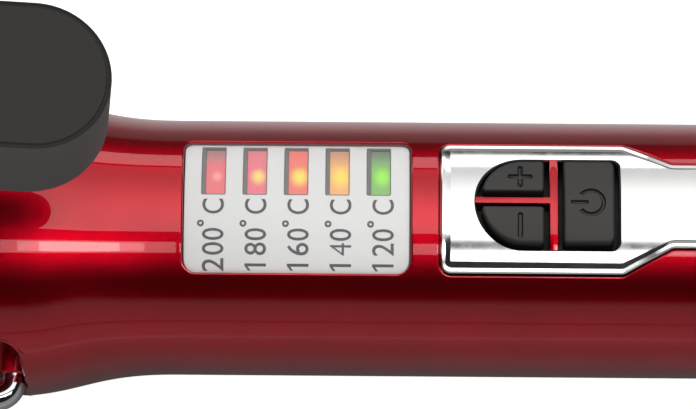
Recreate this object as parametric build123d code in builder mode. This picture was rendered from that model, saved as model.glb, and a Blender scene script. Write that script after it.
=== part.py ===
"""Hair curling iron with a spring clamp, a thumb lever, a folding wire stand and a swivelling cord gland.

Frame: the origin is the centre of the cord gland's mouth. +X points out of the gland, so the hot barrel lies
towards -X. +Z points up through the thumb lever and the control panel, and Y runs across. Lengths are in mm.
"""

import os
from math import cos, radians, sin, sqrt

from build123d import *

os.makedirs("parts", exist_ok=True)

# ------------------------------------------------------------------ handle
handle_length = 146.0  # front rim to rear face
grip_radius = 15.0
wall = 2.2
bolster_radius = 17.8  # swell ahead of the grip
bolster_length = 20.0  # front rim to the start of the slope
bolster_slope = 22.0  # S-shaped run from the swell down to the grip
front_rim_radius = 16.4
front_rim_length = 4.0
front_wall = 2.5
rear_wall = 2.5
tail_length = 30.0  # closing curve at the rear of the grip
tail_radius = 13.6
parting_z = -6.0  # plane where the two shells meet
seam_width = 0.3
seam_depth = 0.3
rail_height = 1.1  # rails that carry the control board
rail_reach = 1.8

# ------------------------------------------------------------------ swivel gland and rear cap
gland_projection = 14.0  # gland mouth beyond the handle's rear face
gland_bore_radius = 3.4
gland_mouth_radius = 5.2
gland_neck_radius = 6.2
gland_flange_radius = 8.4
gland_flange_thickness = 2.0
gland_inner_length = 14.0  # length inside the handle, past the flange
gland_inner_radius = 4.6
cap_radius = 9.0
cap_flange_radius = 11.4
cap_flange_thickness = 2.0
running_gap = 0.06  # radial play of a turning fit
end_play = 0.25
slip_ring_width = 2.0
slip_ring_thickness = 0.5
slip_ring_pitch = 4.5
brush_gap = 0.32

# ------------------------------------------------------------------ display
display_from_front = 56.1  # front rim to the centre of the window
window_length = 26.3
window_width = 16.5
window_corner = 1.8
fit_gap = 0.12
plate_thickness = 0.8
lens_recess = 0.08  # the lens sits this far below the grip's surface
lens_thickness = 0.9
led_count = 5
led_pitch = 4.78
led_length = 5.8
led_width = 2.25
led_window_length = 6.3
led_window_width = 2.7
led_centre_y = 4.75
led_set_back = 0.4  # LED faces below the plate's face
led_foot_pitch = 2.5
led_foot_radius = 0.3

# ------------------------------------------------------------------ trim and keys
trim_from_front = 72.75  # front rim to the trim's front edge
trim_wide_length = 21.1
trim_taper_length = 5.6
trim_tail_length = 16.0
trim_half_wide = 7.95
trim_half_tail = 5.15
trim_corner = 0.9
trim_proud = 0.45
trim_thickness = 1.45
trim_edge = 0.6
trim_gap = 0.3
keyhole_from_trim = 3.9  # trim's front edge to the key opening
keyhole_length = 16.75
keyhole_half_width = 5.6
keyhole_corner = 1.0
divider_bar_width = 0.85  # between plus and minus
divider_post_width = 1.05  # between them and power
divider_from_keyhole = 9.1  # round end of the opening to the cross bar's centre
key_gap = 0.35
power_key_gap = 0.55  # beside the post
key_proud = 1.4
key_edge = 0.35
key_flange = 0.6  # a little less than the gap and half the divider together
key_flange_thickness = 0.7
key_travel = 0.5
stem_radius = 1.2
stem_gap = 0.35  # stem to switch plunger with the key up
symbol_depth = 0.25
symbol_stroke = 0.36
sign_size = 3.0
sign_to_post = 3.9  # plus and minus marks to the post's centre
power_symbol_radius = 1.55
power_stem_length = 2.1
power_gap_angle = 38.0

# ------------------------------------------------------------------ control board
board_top_z = 8.0
board_thickness = 1.4
board_length = 62.0
board_half_width = 9.2
board_from_front = 40.5
switch_side = 3.4
switch_height = 1.2
switch_plunger_radius = 0.8
plunger_height = 0.4

# ------------------------------------------------------------------ barrel
barrel_radius = 12.5
barrel_wall = 1.0
barrel_length = 144.0  # collar to cool tip
barrel_inset = 10.0  # length held inside the handle
collar_length = 12.0
collar_front_radius = 13.7
collar_rear_radius = 15.8
collar_neck_radius = 13.5
collar_flange_radius = 15.2
collar_flange_thickness = 3.0
collar_half_width = 12.9  # the part inside the handle is trimmed to this
tip_length = 18.0
tip_radius = 13.1
tip_face_radius = 8.0
tip_round = 4.0
tip_spigot_length = 9.0
tip_ring_thickness = 1.2
heater_length = 104.0
heater_setback = 12.0  # cool tip to the heater's front end
heater_slot_width = 12.0
heater_slot_height = 4.0
ptc_width = 11.6
ptc_thickness = 3.8
sensor_radius = 1.85
sensor_length = 12.0
heater_bore_radius = 1.9
lead_radius = 0.9
lead_bend = 2.0
fuse_radius = 1.9
fuse_length = 11.0

# ------------------------------------------------------------------ clamp, lever and hinge
pivot_from_collar = 6.0  # collar's front edge to the hinge axis
pivot_z = 17.5
pin_radius = 1.5
pin_head_radius = 2.6
pin_head_thickness = 1.0
bracket_half_width = 6.6
bracket_sheet = 1.2
bracket_length = 10.6
bracket_ear_radius = 3.4
plate_gap = 0.4  # clamp plate to barrel
plate_sheet = 0.8
plate_half_angle = 58.0
plate_corner = 9.0
plate_from_pivot = 8.0
plate_short_of_tip = 8.0
lever_half_width = 8.2
lever_side_gap = 0.4
lever_web_radius = 4.0
lever_sheet = 1.5
lever_ear_sheet = 1.2
lever_ear_radius = 4.4
lever_tab_length = 19.0
lever_tab_half_width = 6.0
lever_tab_corner = 3.0
lever_pad_half_width = 5.8  # inside the thumb pad
lever_tab_from_pivot = 14.0
rivet_radius = 1.0
rivet_head_radius = 1.9
rivet_head_height = 0.7
rivet_pitch = 9.0
spring_wire = 1.0
spring_radius = 2.9  # mean radius of the coil
spring_turns = 7
spring_leg = 6.6  # coil axis to the tip of the upper leg

# ------------------------------------------------------------------ thumb pad
pad_tip_from_front = 36.0  # front rim to the pad's rear tip
pad_length = 36.0
pad_width = 17.4
pad_height = 11.0
pad_tip_z = 49.8  # top face at the rear tip
pad_tilt = 7.5  # the front end stands higher
pad_draft = 3.0
pad_edge = 0.5
pad_front_corner = 3.0
pad_slot_from_top = 6.6
lever_in_pad = 28.0
lever_short_of_tip = 5.0

# ------------------------------------------------------------------ wire stand
stand_wire_radius = 1.6
stand_pivot_from_front = 23.0
stand_half_width = 19.0
stand_pin_inner_y = 11.3
stand_elbow = 2.0
stand_corner = 5.0
stand_run = 13.0  # arm that lies along the handle before it slopes down
stand_length = 44.0
stand_drop = 16.7
pocket_floor = 14.2  # half width across the floors of the side pockets that the stand folds into
pocket_half_height = 8.6
pocket_past_pivot = 0.4  # floor, past the pivot
pocket_draft = 19.0
pocket_corner = 2.4
pocket_wall = 1.2
stand_clearance = 0.8  # round the wire where it enters the pocket
stand_boss_wall = 1.6
stand_boss_depth = 2.2

# ------------------------------------------------------------------ fasteners
screw_radius = 1.3
screw_head_radius = 2.3
screw_head_height = 1.6
screw_boss_radius = 3.0
screw_length = 12.0
screw_spots = ((15.0, 11.0), (104.0, 8.4))  # from the front rim, and to each side
screw_sink = 2.5  # shell left under a screw head

# ------------------------------------------------------- places along the tool, worked out from the sizes
x_rear = -gland_projection
x_front = x_rear - handle_length
x_collar = x_front - collar_length
x_barrel_end = x_collar - barrel_length
x_pivot = x_collar - pivot_from_collar
x_window = x_front + display_from_front
x_trim = x_front + trim_from_front
x_keyhole = x_trim + keyhole_from_trim
x_divider = x_keyhole + divider_from_keyhole
x_board = x_front + board_from_front
x_stand = x_front + stand_pivot_from_front
x_pad_tip = x_front + pad_tip_from_front
cavity_radius = grip_radius - wall
trim_radius = grip_radius + trim_proud
key_radius = grip_radius + key_proud
above = 30.0  # taller than anything on the handle


def on_circle(radius, across):
    """Height of a circle about the long axis at a distance across it."""
    return sqrt(radius**2 - across**2)


def finish(part, name):
    """Labels a finished piece and writes it to its own file."""
    part.label = name
    export_step(part, f"parts/{name}.step")


def turned(*stations):
    """A solid turned about the long axis through (x, radius) stations, straight from one to the next."""
    with BuildPart() as piece:
        with BuildSketch(Plane.XZ):
            with BuildLine():
                Polyline((stations[0][0], 0), *stations, (stations[-1][0], 0), close=True)
            make_face()
        revolve(axis=Axis.X)
    return piece.part


def ring(inner, outer, x0, x1):
    """A tube about the long axis."""
    with BuildPart() as piece:
        with BuildSketch(Plane.YZ.offset(x0)):
            Circle(outer)
            if inner > 0:
                Circle(inner, mode=Mode.SUBTRACT)
        extrude(amount=x1 - x0)
    return piece.part


def prism(sketch, z0, z1):
    """A plan view pushed up from z0 to z1."""
    with BuildPart() as piece:
        with BuildSketch(Plane.XY.offset(z0)):
            add(sketch)
        extrude(amount=z1 - z0)
    return piece.part


def block(x0, x1, y0, y1, z0, z1):
    """A box between two corners."""
    with BuildPart() as piece:
        with Locations(((x0 + x1) / 2, (y0 + y1) / 2, (z0 + z1) / 2)):
            Box(x1 - x0, y1 - y0, z1 - z0)
    return piece.part


# ================================================================== handle shells
def handle_form(inset, front, rear):
    """The handle's outer form, drawn in by inset, between two cross planes."""
    x_swell = x_front + bolster_length
    x_grip = x_swell + bolster_slope
    x_tail = x_rear - tail_length
    x_mid_slope = (x_swell + x_grip) / 2
    x_mid_tail = (x_tail + x_rear) / 2
    with BuildPart() as form:
        with BuildSketch(Plane.XZ):
            with BuildLine():
                Polyline(
                    (x_rear, tail_radius - inset),
                    (x_rear, 0),
                    (x_front, 0),
                    (x_front, front_rim_radius - inset),
                )
                Bezier(
                    (x_front, front_rim_radius - inset),
                    (x_front + front_rim_length / 3, bolster_radius - inset),
                    (x_front + front_rim_length, bolster_radius - inset),
                )
                Line((x_front + front_rim_length, bolster_radius - inset), (x_swell, bolster_radius - inset))
                Bezier(
                    (x_swell, bolster_radius - inset),
                    (x_mid_slope, bolster_radius - inset),
                    (x_mid_slope, grip_radius - inset),
                    (x_grip, grip_radius - inset),
                )
                Line((x_grip, grip_radius - inset), (x_tail, grip_radius - inset))
                Bezier(
                    (x_tail, grip_radius - inset),
                    (x_mid_tail, grip_radius - inset),
                    (x_rear, tail_radius - inset),
                )
            make_face()
        revolve(axis=Axis.X)
        if front > x_front or rear < x_rear:
            add(ring(0, bolster_radius + 1, front, rear), mode=Mode.INTERSECT)
    return form.part


def trim_outline(grow=0.0):
    """Plan of the bright trim: wide round the keys, necked down to a round-ended tail."""
    x_taper = x_trim + trim_wide_length
    x_tail = x_taper + trim_taper_length
    x_end = x_tail + trim_tail_length
    with BuildSketch() as plan:
        with BuildLine():
            Polyline(
                (x_trim, -trim_half_wide),
                (x_taper, -trim_half_wide),
                (x_tail, -trim_half_tail),
                (x_end, -trim_half_tail),
                (x_end, trim_half_tail),
                (x_tail, trim_half_tail),
                (x_taper, trim_half_wide),
                (x_trim, trim_half_wide),
                close=True,
            )
        make_face()
        corners = plan.vertices().group_by(Axis.X)
        fillet(corners[0] + corners[1] + corners[2], trim_corner)
        fillet(plan.vertices().group_by(Axis.X)[-1], trim_half_tail * 0.98)
        if grow:
            offset(amount=grow)
    return plan.sketch


def keyhole_outline(grow=0.0):
    """Plan of the key opening: round towards the display, square towards the tail."""
    x_round = x_keyhole + keyhole_half_width
    x_end = x_keyhole + keyhole_length
    with BuildSketch() as plan:
        with Locations(((x_round + x_end) / 2, 0)):
            Rectangle(x_end - x_round, 2 * keyhole_half_width)
        fillet(plan.vertices().group_by(Axis.X)[-1], keyhole_corner)
        with Locations((x_round, 0)):
            Circle(keyhole_half_width)
        if grow:
            offset(amount=grow)
    return plan.sketch


def divider_outline(grow=0.0):
    """Plan of the T-shaped divider between the three keys, run out past the opening."""
    with BuildSketch() as plan:
        with Locations(((x_keyhole - 1 + x_divider) / 2, 0)):
            Rectangle(x_divider - x_keyhole + 1, divider_bar_width + 2 * grow)
        with Locations((x_divider, 0)):
            Rectangle(divider_post_width + 2 * grow, 2 * keyhole_half_width + 2)
    return plan.sketch


def window_outline(grow=0.0):
    """Plan of the display window."""
    with BuildSketch() as plan:
        with Locations((x_window, 0)):
            RectangleRounded(window_length + 2 * grow, window_width + 2 * grow, window_corner + grow)
    return plan.sketch


def side_pocket(side):
    """The cut for a pocket in the bolster's side: a flat floor, sloping walls, open to the front."""
    x0 = x_front - 2 * bolster_length
    x1 = x_stand + pocket_past_pivot
    outward = Plane(origin=(0, side * pocket_floor, 0), x_dir=(side, 0, 0), z_dir=(0, side, 0))
    with BuildPart() as cut:
        with BuildSketch(outward) as floor:
            with Locations((side * (x0 + x1) / 2, 0)):
                Rectangle(x1 - x0, 2 * pocket_half_height)
            fillet(floor.vertices(), pocket_corner)
        extrude(amount=bolster_radius, taper=-pocket_draft)
        # room for the wire where it turns in
        with BuildSketch(outward):
            with Locations((side * x_stand, 0)):
                Circle(stand_wire_radius + stand_clearance)
        extrude(amount=bolster_radius)
    return cut.part


screw_places = [(x_front + along, side * across) for along, across in screw_spots for side in (-1, 1)]
with BuildPart() as cavity_form:
    add(handle_form(wall, x_front + front_wall, x_rear - rear_wall))
    # the hollow is narrower behind the side pockets
    y_inner = pocket_floor - pocket_wall
    x_inner = x_stand + pocket_past_pivot + 3 * pocket_wall
    for y0, y1 in ((-above, -y_inner), (y_inner, above)):
        add(block(x_front - 1, x_inner, y0, y1, -above, above), mode=Mode.SUBTRACT)
cavity = cavity_form.part
outer_form = handle_form(0, x_front, x_rear)

# the whole hollow handle, before the two shells are parted
with BuildPart() as hollow_handle:
    add(outer_form)
    for side in (-1, 1):
        add(side_pocket(side), mode=Mode.SUBTRACT)
    add(cavity, mode=Mode.SUBTRACT)
    # bosses behind the pockets, bored for the stand's pins
    for y0 in (-pocket_floor, pocket_floor - pocket_wall - stand_boss_depth):
        with BuildSketch(Plane.XZ.offset(-y0)):
            with Locations((x_stand, 0)):
                Circle(stand_wire_radius + stand_boss_wall)
        extrude(amount=-pocket_wall - stand_boss_depth)
    with BuildSketch(Plane.XZ.offset(-above)):
        with Locations((x_stand, 0)):
            Circle(stand_wire_radius + running_gap)
    extrude(amount=2 * above, mode=Mode.SUBTRACT)
    # bores for the barrel's collar and the gland's cap
    add(ring(0, collar_neck_radius + fit_gap, x_front - 1, x_front + front_wall + 1), mode=Mode.SUBTRACT)
    add(ring(0, cap_radius + fit_gap, x_rear - rear_wall - 1, x_rear + 1), mode=Mode.SUBTRACT)

# screw bosses, kept inside the handle's form
with BuildPart() as bosses:
    with BuildSketch(Plane.XY.offset(-above)):
        with Locations(*screw_places):
            Circle(screw_boss_radius)
    extrude(amount=above + parting_z + screw_length * 0.7)
    add(handle_form(wall / 2, x_front + front_wall / 2, x_rear - rear_wall / 2), mode=Mode.INTERSECT)

# seat that the trim is let into
with BuildPart() as trim_seat:
    add(prism(trim_outline(trim_gap), 0, above))
    add(ring(trim_radius - trim_thickness, above, x_front, x_rear), mode=Mode.INTERSECT)

with BuildPart() as upper_shell:
    add(hollow_handle.part)
    add(bosses.part)
    add(block(x_front - 1, x_rear + 1, -above, above, -above, parting_z), mode=Mode.SUBTRACT)
    # rails for the board
    for side in (-1, 1):
        y_rail = sorted((side * (board_half_width - rail_reach), side * (cavity_radius - 0.6)))
        z_rail = board_top_z - board_thickness
        add(block(x_board, x_board + board_length, *y_rail, z_rail - rail_height, z_rail))
    # seats for the trim, the window and the keys
    add(trim_seat.part, mode=Mode.SUBTRACT)
    add(prism(window_outline(), 0, above), mode=Mode.SUBTRACT)
    add(prism(keyhole_outline(), 0, above), mode=Mode.SUBTRACT)
    # screw pilots
    with BuildSketch(Plane.XY.offset(parting_z)):
        with Locations(*screw_places):
            Circle(screw_radius)
    extrude(amount=screw_length * 0.6, mode=Mode.SUBTRACT)

# the T-shaped divider is moulded with the upper shell and stands up flush with the trim
with BuildPart() as divider_low:
    add(prism(divider_outline(), 0, above))
    add(prism(keyhole_outline(0.3), 0, above), mode=Mode.INTERSECT)
    add(ring(cavity_radius, trim_radius - trim_thickness, x_front, x_rear), mode=Mode.INTERSECT)
with BuildPart() as divider_high:
    add(prism(divider_outline(), 0, above))
    add(prism(keyhole_outline(-0.06), 0, above), mode=Mode.INTERSECT)
    add(ring(cavity_radius + 0.5, trim_radius - 0.1, x_front, x_rear), mode=Mode.INTERSECT)
with BuildPart() as upper_shell_whole:
    add(upper_shell.part)
    add(divider_low.part)
    add(divider_high.part)
finish(upper_shell_whole.part, "upper_shell")

# a fine groove where the shells meet
with BuildPart() as seam:
    add(block(x_front, x_rear, -above, above, parting_z - seam_width, above))
    add(handle_form(seam_depth, x_front, x_rear), mode=Mode.SUBTRACT)

with BuildPart() as lower_shell:
    add(hollow_handle.part)
    add(bosses.part)
    add(block(x_front - 1, x_rear + 1, -above, above, parting_z, above), mode=Mode.SUBTRACT)
    add(seam.part, mode=Mode.SUBTRACT)
    # screw holes with sunk heads
    with BuildSketch(Plane.XY.offset(-above)):
        with Locations(*screw_places):
            Circle(screw_radius + fit_gap)
    extrude(amount=2 * above, mode=Mode.SUBTRACT)
    with BuildSketch(Plane.XY.offset(-above)):
        with Locations(*screw_places):
            Circle(screw_head_radius + fit_gap)
    extrude(amount=above + parting_z - screw_sink, mode=Mode.SUBTRACT)
finish(lower_shell.part, "lower_shell")

z_seat = parting_z - screw_sink
with BuildPart() as shell_screws:
    with BuildSketch(Plane.XY.offset(z_seat - screw_head_height)):
        with Locations(*screw_places):
            Circle(screw_head_radius)
    extrude(amount=screw_head_height)
    with BuildSketch(Plane.XY.offset(z_seat)):
        with Locations(*screw_places):
            Circle(screw_radius - 0.02)
    extrude(amount=screw_length * 0.75)
    # cross recesses
    for x_screw, y_screw in screw_places:
        with BuildSketch(Plane.XY.offset(z_seat - screw_head_height)):
            with Locations((x_screw, y_screw)):
                Rectangle(2.6, 0.6)
                Rectangle(0.6, 2.6)
        extrude(amount=0.9, mode=Mode.SUBTRACT)
finish(shell_screws.part, "shell_screws")

# ================================================================== display
lens_radius = grip_radius - lens_recess
plate_radius = lens_radius - lens_thickness
led_places = [(x_window + (i - (led_count - 1) / 2) * led_pitch, led_centre_y) for i in range(led_count)]
led_names = ("led_200", "led_180", "led_160", "led_140", "led_120")

with BuildPart() as display_lens:
    add(prism(window_outline(-fit_gap), 0, above))
    add(ring(plate_radius, lens_radius, x_front, x_rear), mode=Mode.INTERSECT)
finish(display_lens.part, "display_lens")

with BuildPart() as display_plate:
    add(prism(window_outline(-fit_gap), 0, above))
    add(ring(plate_radius - plate_thickness, plate_radius, x_front, x_rear), mode=Mode.INTERSECT)
    with BuildSketch(Plane.XY):
        with Locations(*led_places):
            RectangleRounded(led_window_width, led_window_length, 0.3)
    extrude(amount=above, mode=Mode.SUBTRACT)
finish(display_plate.part, "display_plate")

for led_name, (x_led, y_led) in zip(led_names, led_places):
    with BuildPart() as led:
        with BuildSketch(Plane.XY.offset(board_top_z + 1.0)):
            with Locations((x_led, y_led)):
                RectangleRounded(led_width, led_length, 0.2)
        extrude(amount=above)
        add(ring(0, plate_radius - led_set_back, x_front, x_rear), mode=Mode.INTERSECT)
        with BuildSketch(Plane.XY.offset(board_top_z)):
            with Locations((x_led, y_led - led_foot_pitch / 2), (x_led, y_led + led_foot_pitch / 2)):
                Circle(led_foot_radius)
        extrude(amount=1.2)
    finish(led.part, led_name)

# ================================================================== trim and keys
with BuildPart() as trim_face:
    add(prism(trim_outline(-trim_edge), 0, above))
    add(ring(trim_radius - trim_thickness, trim_radius, x_front, x_rear), mode=Mode.INTERSECT)

with BuildPart() as chrome_trim:
    # a low flange all round, and the bright face standing up from it
    add(prism(trim_outline(), 0, above))
    add(ring(trim_radius - trim_thickness, trim_radius - 0.25, x_front, x_rear), mode=Mode.INTERSECT)
    add(trim_face.part)
    add(prism(keyhole_outline(), 0, above), mode=Mode.SUBTRACT)
finish(chrome_trim.part, "chrome_trim")

keyhole_end = x_keyhole + keyhole_length
x_power_cell = x_divider + divider_post_width / 2 + power_key_gap
key_cells = {
    "plus_key": block(x_keyhole - 1, x_divider, 0, above, 0, above),
    "minus_key": block(x_keyhole - 1, x_divider, -above, 0, 0, above),
    "power_key": block(x_power_cell, keyhole_end + 1, -above, above, 0, above),
}
y_sign = (divider_bar_width / 2 + keyhole_half_width) / 2
key_middles = {
    "plus_key": (x_divider - sign_to_post, y_sign - 0.15),
    "minus_key": (x_divider - sign_to_post, -y_sign - 0.15),
    "power_key": ((x_power_cell + keyhole_end - key_gap) / 2, -0.35),
}


def key_symbol(name):
    """Plan of the mark cut in a key's face. The marks read with the handle held upright, barrel up."""
    x_mark, y_mark = key_middles[name]
    with BuildSketch() as mark:
        with Locations((x_mark, y_mark)):
            if name == "plus_key":
                Rectangle(sign_size, symbol_stroke)
                Rectangle(symbol_stroke, sign_size)
            elif name == "minus_key":
                Rectangle(symbol_stroke, sign_size)
            else:
                Circle(power_symbol_radius + symbol_stroke / 2)
                Circle(power_symbol_radius - symbol_stroke / 2, mode=Mode.SUBTRACT)
                with Locations((-power_symbol_radius, 0)):
                    gap = 2 * power_symbol_radius * sin(radians(power_gap_angle))
                    Rectangle(1.6, gap, mode=Mode.SUBTRACT)
                with Locations((-power_symbol_radius, 0)):
                    Rectangle(power_stem_length, symbol_stroke)
    return mark.sketch


def key_layer(cell, grow, inner, outer):
    """One layer of a key between two radii, its outline grown by an amount inside its cell of the opening."""
    with BuildPart() as layer:
        add(prism(keyhole_outline(grow), 0, above))
        add(prism(divider_outline(-grow), 0, above), mode=Mode.SUBTRACT)
        add(cell, mode=Mode.INTERSECT)
        add(ring(inner, outer, x_front, x_rear), mode=Mode.INTERSECT)
    return layer.part


def mark_cut(key_name):
    """The cut that sinks a key's mark into its face."""
    with BuildPart() as cut:
        add(prism(key_symbol(key_name), 0, above))
        add(ring(key_radius - symbol_depth, above, x_front, x_rear), mode=Mode.INTERSECT)
    return cut.part


flange_top = cavity_radius - key_gap
z_stem = board_top_z + switch_height + plunger_height + stem_gap + key_travel
for key_name, cell in key_cells.items():
    with BuildPart() as key:
        # cap with a shoulder below its face, and the flange that keeps it from falling out
        add(key_layer(cell, -key_gap, flange_top - key_flange_thickness, key_radius - key_edge))
        add(key_layer(cell, -key_gap - key_edge, cavity_radius, key_radius))
        add(key_layer(cell, -key_gap + key_flange, flange_top - key_flange_thickness, flange_top))
        # stem over the switch
        with BuildSketch(Plane.XY.offset(z_stem)):
            with Locations(key_middles[key_name]):
                Circle(stem_radius)
        extrude(amount=flange_top - z_stem)
        add(mark_cut(key_name), mode=Mode.SUBTRACT)
    finish(key.part, key_name)

# ================================================================== control board
with BuildPart() as control_board:
    x_board_end = x_board + board_length
    z_board = board_top_z - board_thickness
    add(block(x_board, x_board_end, -board_half_width, board_half_width, z_board, board_top_z))
    with BuildSketch(Plane.XY):
        with Locations((x_board + 5, 0), (x_board + board_length - 4, 0)):
            Circle(1.1)
    extrude(amount=above, mode=Mode.SUBTRACT)
finish(control_board.part, "control_board")

with BuildPart() as tact_switches:
    for x_mark, y_mark in key_middles.values():
        with Locations((x_mark, y_mark, board_top_z + switch_height / 2)):
            Box(switch_side, switch_side, switch_height)
        with Locations((x_mark, y_mark, board_top_z + switch_height + plunger_height / 2)):
            Cylinder(switch_plunger_radius, plunger_height)
finish(tact_switches.part, "tact_switches")

z_under = board_top_z - board_thickness
with BuildPart() as controller_chip:
    add(block(x_board + 14, x_board + 24, -3.5, 3.5, z_under - 1.6, z_under))
finish(controller_chip.part, "controller_chip")

with BuildPart() as power_switch:
    # a three-legged heater switch with its metal tab
    add(block(x_board + 30, x_board + 39, -7.2, 2.5, z_under - 4.4, z_under))
    add(block(x_board + 39, x_board + 44, -7.2, 2.5, z_under - 1.3, z_under))
finish(power_switch.part, "power_switch")

with BuildPart() as smoothing_capacitor:
    with BuildSketch(Plane.YZ.offset(x_board + 46)):
        with Locations((0, z_under - 4.2)):
            Circle(4.2)
    extrude(amount=11)
finish(smoothing_capacitor.part, "smoothing_capacitor")

# ================================================================== barrel
with BuildPart() as barrel_tube:
    x_tube_end = x_front + barrel_inset
    add(ring(barrel_radius - barrel_wall, barrel_radius, x_barrel_end, x_tube_end))
finish(barrel_tube.part, "barrel_tube")

collar_head = turned(
    (x_collar, collar_front_radius),
    (x_collar + 1.0, collar_front_radius + 0.6),
    (x_front - 0.02, collar_rear_radius),
    (x_front - 0.02, collar_neck_radius),
    (x_front + front_wall, collar_neck_radius),
)
with BuildPart() as collar_stem:
    x_flange = x_front + front_wall + 0.05
    add(ring(0, collar_neck_radius, x_front + front_wall / 2, x_flange))
    add(ring(0, collar_flange_radius, x_flange, x_flange + collar_flange_thickness))
    for y0, y1 in ((-above, -collar_half_width), (collar_half_width, above)):
        add(block(x_front + front_wall, x_flange + above, y0, y1, -above, above), mode=Mode.SUBTRACT)

with BuildPart() as barrel_collar:
    add(collar_head)
    add(collar_stem.part)
    add(ring(0, barrel_radius + 0.02, x_collar - 1, x_front + 20), mode=Mode.SUBTRACT)
finish(barrel_collar.part, "barrel_collar")

with BuildPart() as cool_tip:
    x_tip = x_barrel_end - tip_length
    add(
        turned(
            (x_tip, tip_face_radius),
            (x_tip + 0.5, tip_face_radius + 1.3),
            (x_tip + 1.6, tip_radius - 1.4),
            (x_tip + tip_round, tip_radius - 0.2),
            (x_tip + tip_round + 1.5, tip_radius),
            (x_barrel_end, tip_radius),
            (x_barrel_end, barrel_radius - barrel_wall - 0.05),
            (x_barrel_end + tip_spigot_length, barrel_radius - barrel_wall - 0.05),
        )
    )
    # hollow from the barrel side
    spigot_bore = barrel_radius - barrel_wall - 1.6
    add(ring(0, spigot_bore, x_tip + 5, x_barrel_end + tip_spigot_length + 1), mode=Mode.SUBTRACT)
    # cooling grooves
    for i in range(3):
        x_groove = x_barrel_end - 4.0 - 3.2 * i
        add(ring(tip_radius - 0.6, tip_radius + 1, x_groove, x_groove + 1.0), mode=Mode.SUBTRACT)
finish(cool_tip.part, "cool_tip")

x_heater = x_barrel_end + heater_setback
with BuildPart() as heater_blocks:
    add(ring(0, barrel_radius - barrel_wall - 0.1, x_heater, x_heater + heater_length))
    half_slot = heater_slot_height / 2
    slot_end = x_heater + heater_length + 1
    add(block(x_heater - 1, slot_end, -above, above, -half_slot, half_slot), mode=Mode.SUBTRACT)
    # long bores that lighten the two halves, and the sensor's groove
    for y_bore, z_bore in ((-4.6, 6.2), (4.6, 6.2), (-4.6, -6.2), (4.6, -6.2)):
        with BuildSketch(Plane.YZ.offset(x_heater - 1)):
            with Locations((y_bore, z_bore)):
                Circle(heater_bore_radius)
        extrude(amount=heater_length + 2, mode=Mode.SUBTRACT)
finish(heater_blocks.part, "heater_blocks")

with BuildPart() as ptc_element:
    y_ptc = heater_slot_width / 2 - 0.2
    z_ptc = ptc_thickness / 2
    add(block(x_heater + 6, x_heater + 66, -y_ptc, y_ptc, -z_ptc, z_ptc))
finish(ptc_element.part, "ptc_element")

with BuildPart() as temperature_sensor:
    with BuildSketch(Plane.YZ.offset(x_heater + heater_length - sensor_length + 5)):
        with Locations((4.6, 6.2)):
            Circle(sensor_radius)
    extrude(amount=sensor_length)
finish(temperature_sensor.part, "temperature_sensor")

fuse_y = -4.0
fuse_z = -1.2
with BuildPart() as thermal_fuse:
    with BuildSketch(Plane.YZ.offset(x_heater + heater_length + 4)):
        with Locations((fuse_y, fuse_z)):
            Circle(fuse_radius)
    extrude(amount=fuse_length)
    with BuildSketch(Plane.YZ.offset(x_heater + heater_length - 6)):
        with Locations((fuse_y, fuse_z)):
            Circle(0.55)
    extrude(amount=fuse_length + 12)
finish(thermal_fuse.part, "thermal_fuse")


def lead(radius, *points):
    """A wire along straight runs with rounded corners."""
    with BuildPart() as wire:
        with BuildLine() as run:
            FilletPolyline(*points, radius=lead_bend)
        with BuildSketch(Plane(origin=run.line @ 0, z_dir=run.line % 0)):
            Circle(radius)
        sweep()
    return wire.part


with BuildPart() as heater_leads:
    x_lead = x_heater + 66.0
    x_rise = x_board + 8
    for y_lead in (1.2, 3.4):
        add(lead(lead_radius, (x_lead, y_lead, 0), (x_rise, y_lead, 0), (x_rise, y_lead, z_under)))
    # the fuse's lead, and the sensor's
    x_fuse = x_heater + heater_length + fuse_length + 6
    add(lead(lead_radius, (x_fuse, fuse_y, fuse_z), (x_rise, fuse_y, 0), (x_rise, fuse_y, z_under)))
    x_sensor = x_heater + heater_length + 5
    z_low = z_under - 2.6
    low_run = ((x_board - 6, 6.4, z_low), (x_board + 5, 6.4, z_low))
    add(lead(0.6, (x_sensor, 4.6, 6.2), *low_run, (x_board + 5, 6.4, z_under)))
finish(heater_leads.part, "heater_leads")

# ================================================================== hinge, lever and clamp
x0 = x_pivot - bracket_length / 2
x1 = x_pivot + bracket_length / 2
with BuildPart() as saddle:
    add(ring(barrel_radius + 0.01, barrel_radius + bracket_sheet, x0, x1))
    add(block(x0, x1, -bracket_half_width, bracket_half_width, 0, above), mode=Mode.INTERSECT)

with BuildPart() as hinge_bracket:
    add(saddle.part)
    for side in (-1, 1):
        y_in, y_out = sorted((side * (bracket_half_width - bracket_sheet), side * bracket_half_width))
        with BuildSketch(Plane.XZ.offset(-y_out)):
            with Locations((x_pivot, (pivot_z + 11.5) / 2)):
                Rectangle(2 * bracket_ear_radius, pivot_z - 11.5)
            with Locations((x_pivot, pivot_z)):
                Circle(bracket_ear_radius)
                Circle(pin_radius, mode=Mode.SUBTRACT)
        extrude(amount=y_out - y_in)
    add(ring(0, barrel_radius + 0.01, x0 - 1, x1 + 1), mode=Mode.SUBTRACT)
finish(hinge_bracket.part, "hinge_bracket")

y_pin = lever_half_width + 0.35
with BuildPart() as pivot_pin:
    with BuildSketch(Plane.XZ.offset(-y_pin)):
        with Locations((x_pivot, pivot_z)):
            Circle(pin_radius)
    extrude(amount=2 * y_pin)
    for y_head in (-y_pin - pin_head_thickness, y_pin):
        with BuildSketch(Plane.XZ.offset(-y_head)):
            with Locations((x_pivot, pivot_z)):
                Circle(pin_head_radius)
        extrude(amount=-pin_head_thickness)
finish(pivot_pin.part, "pivot_pin")

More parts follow.
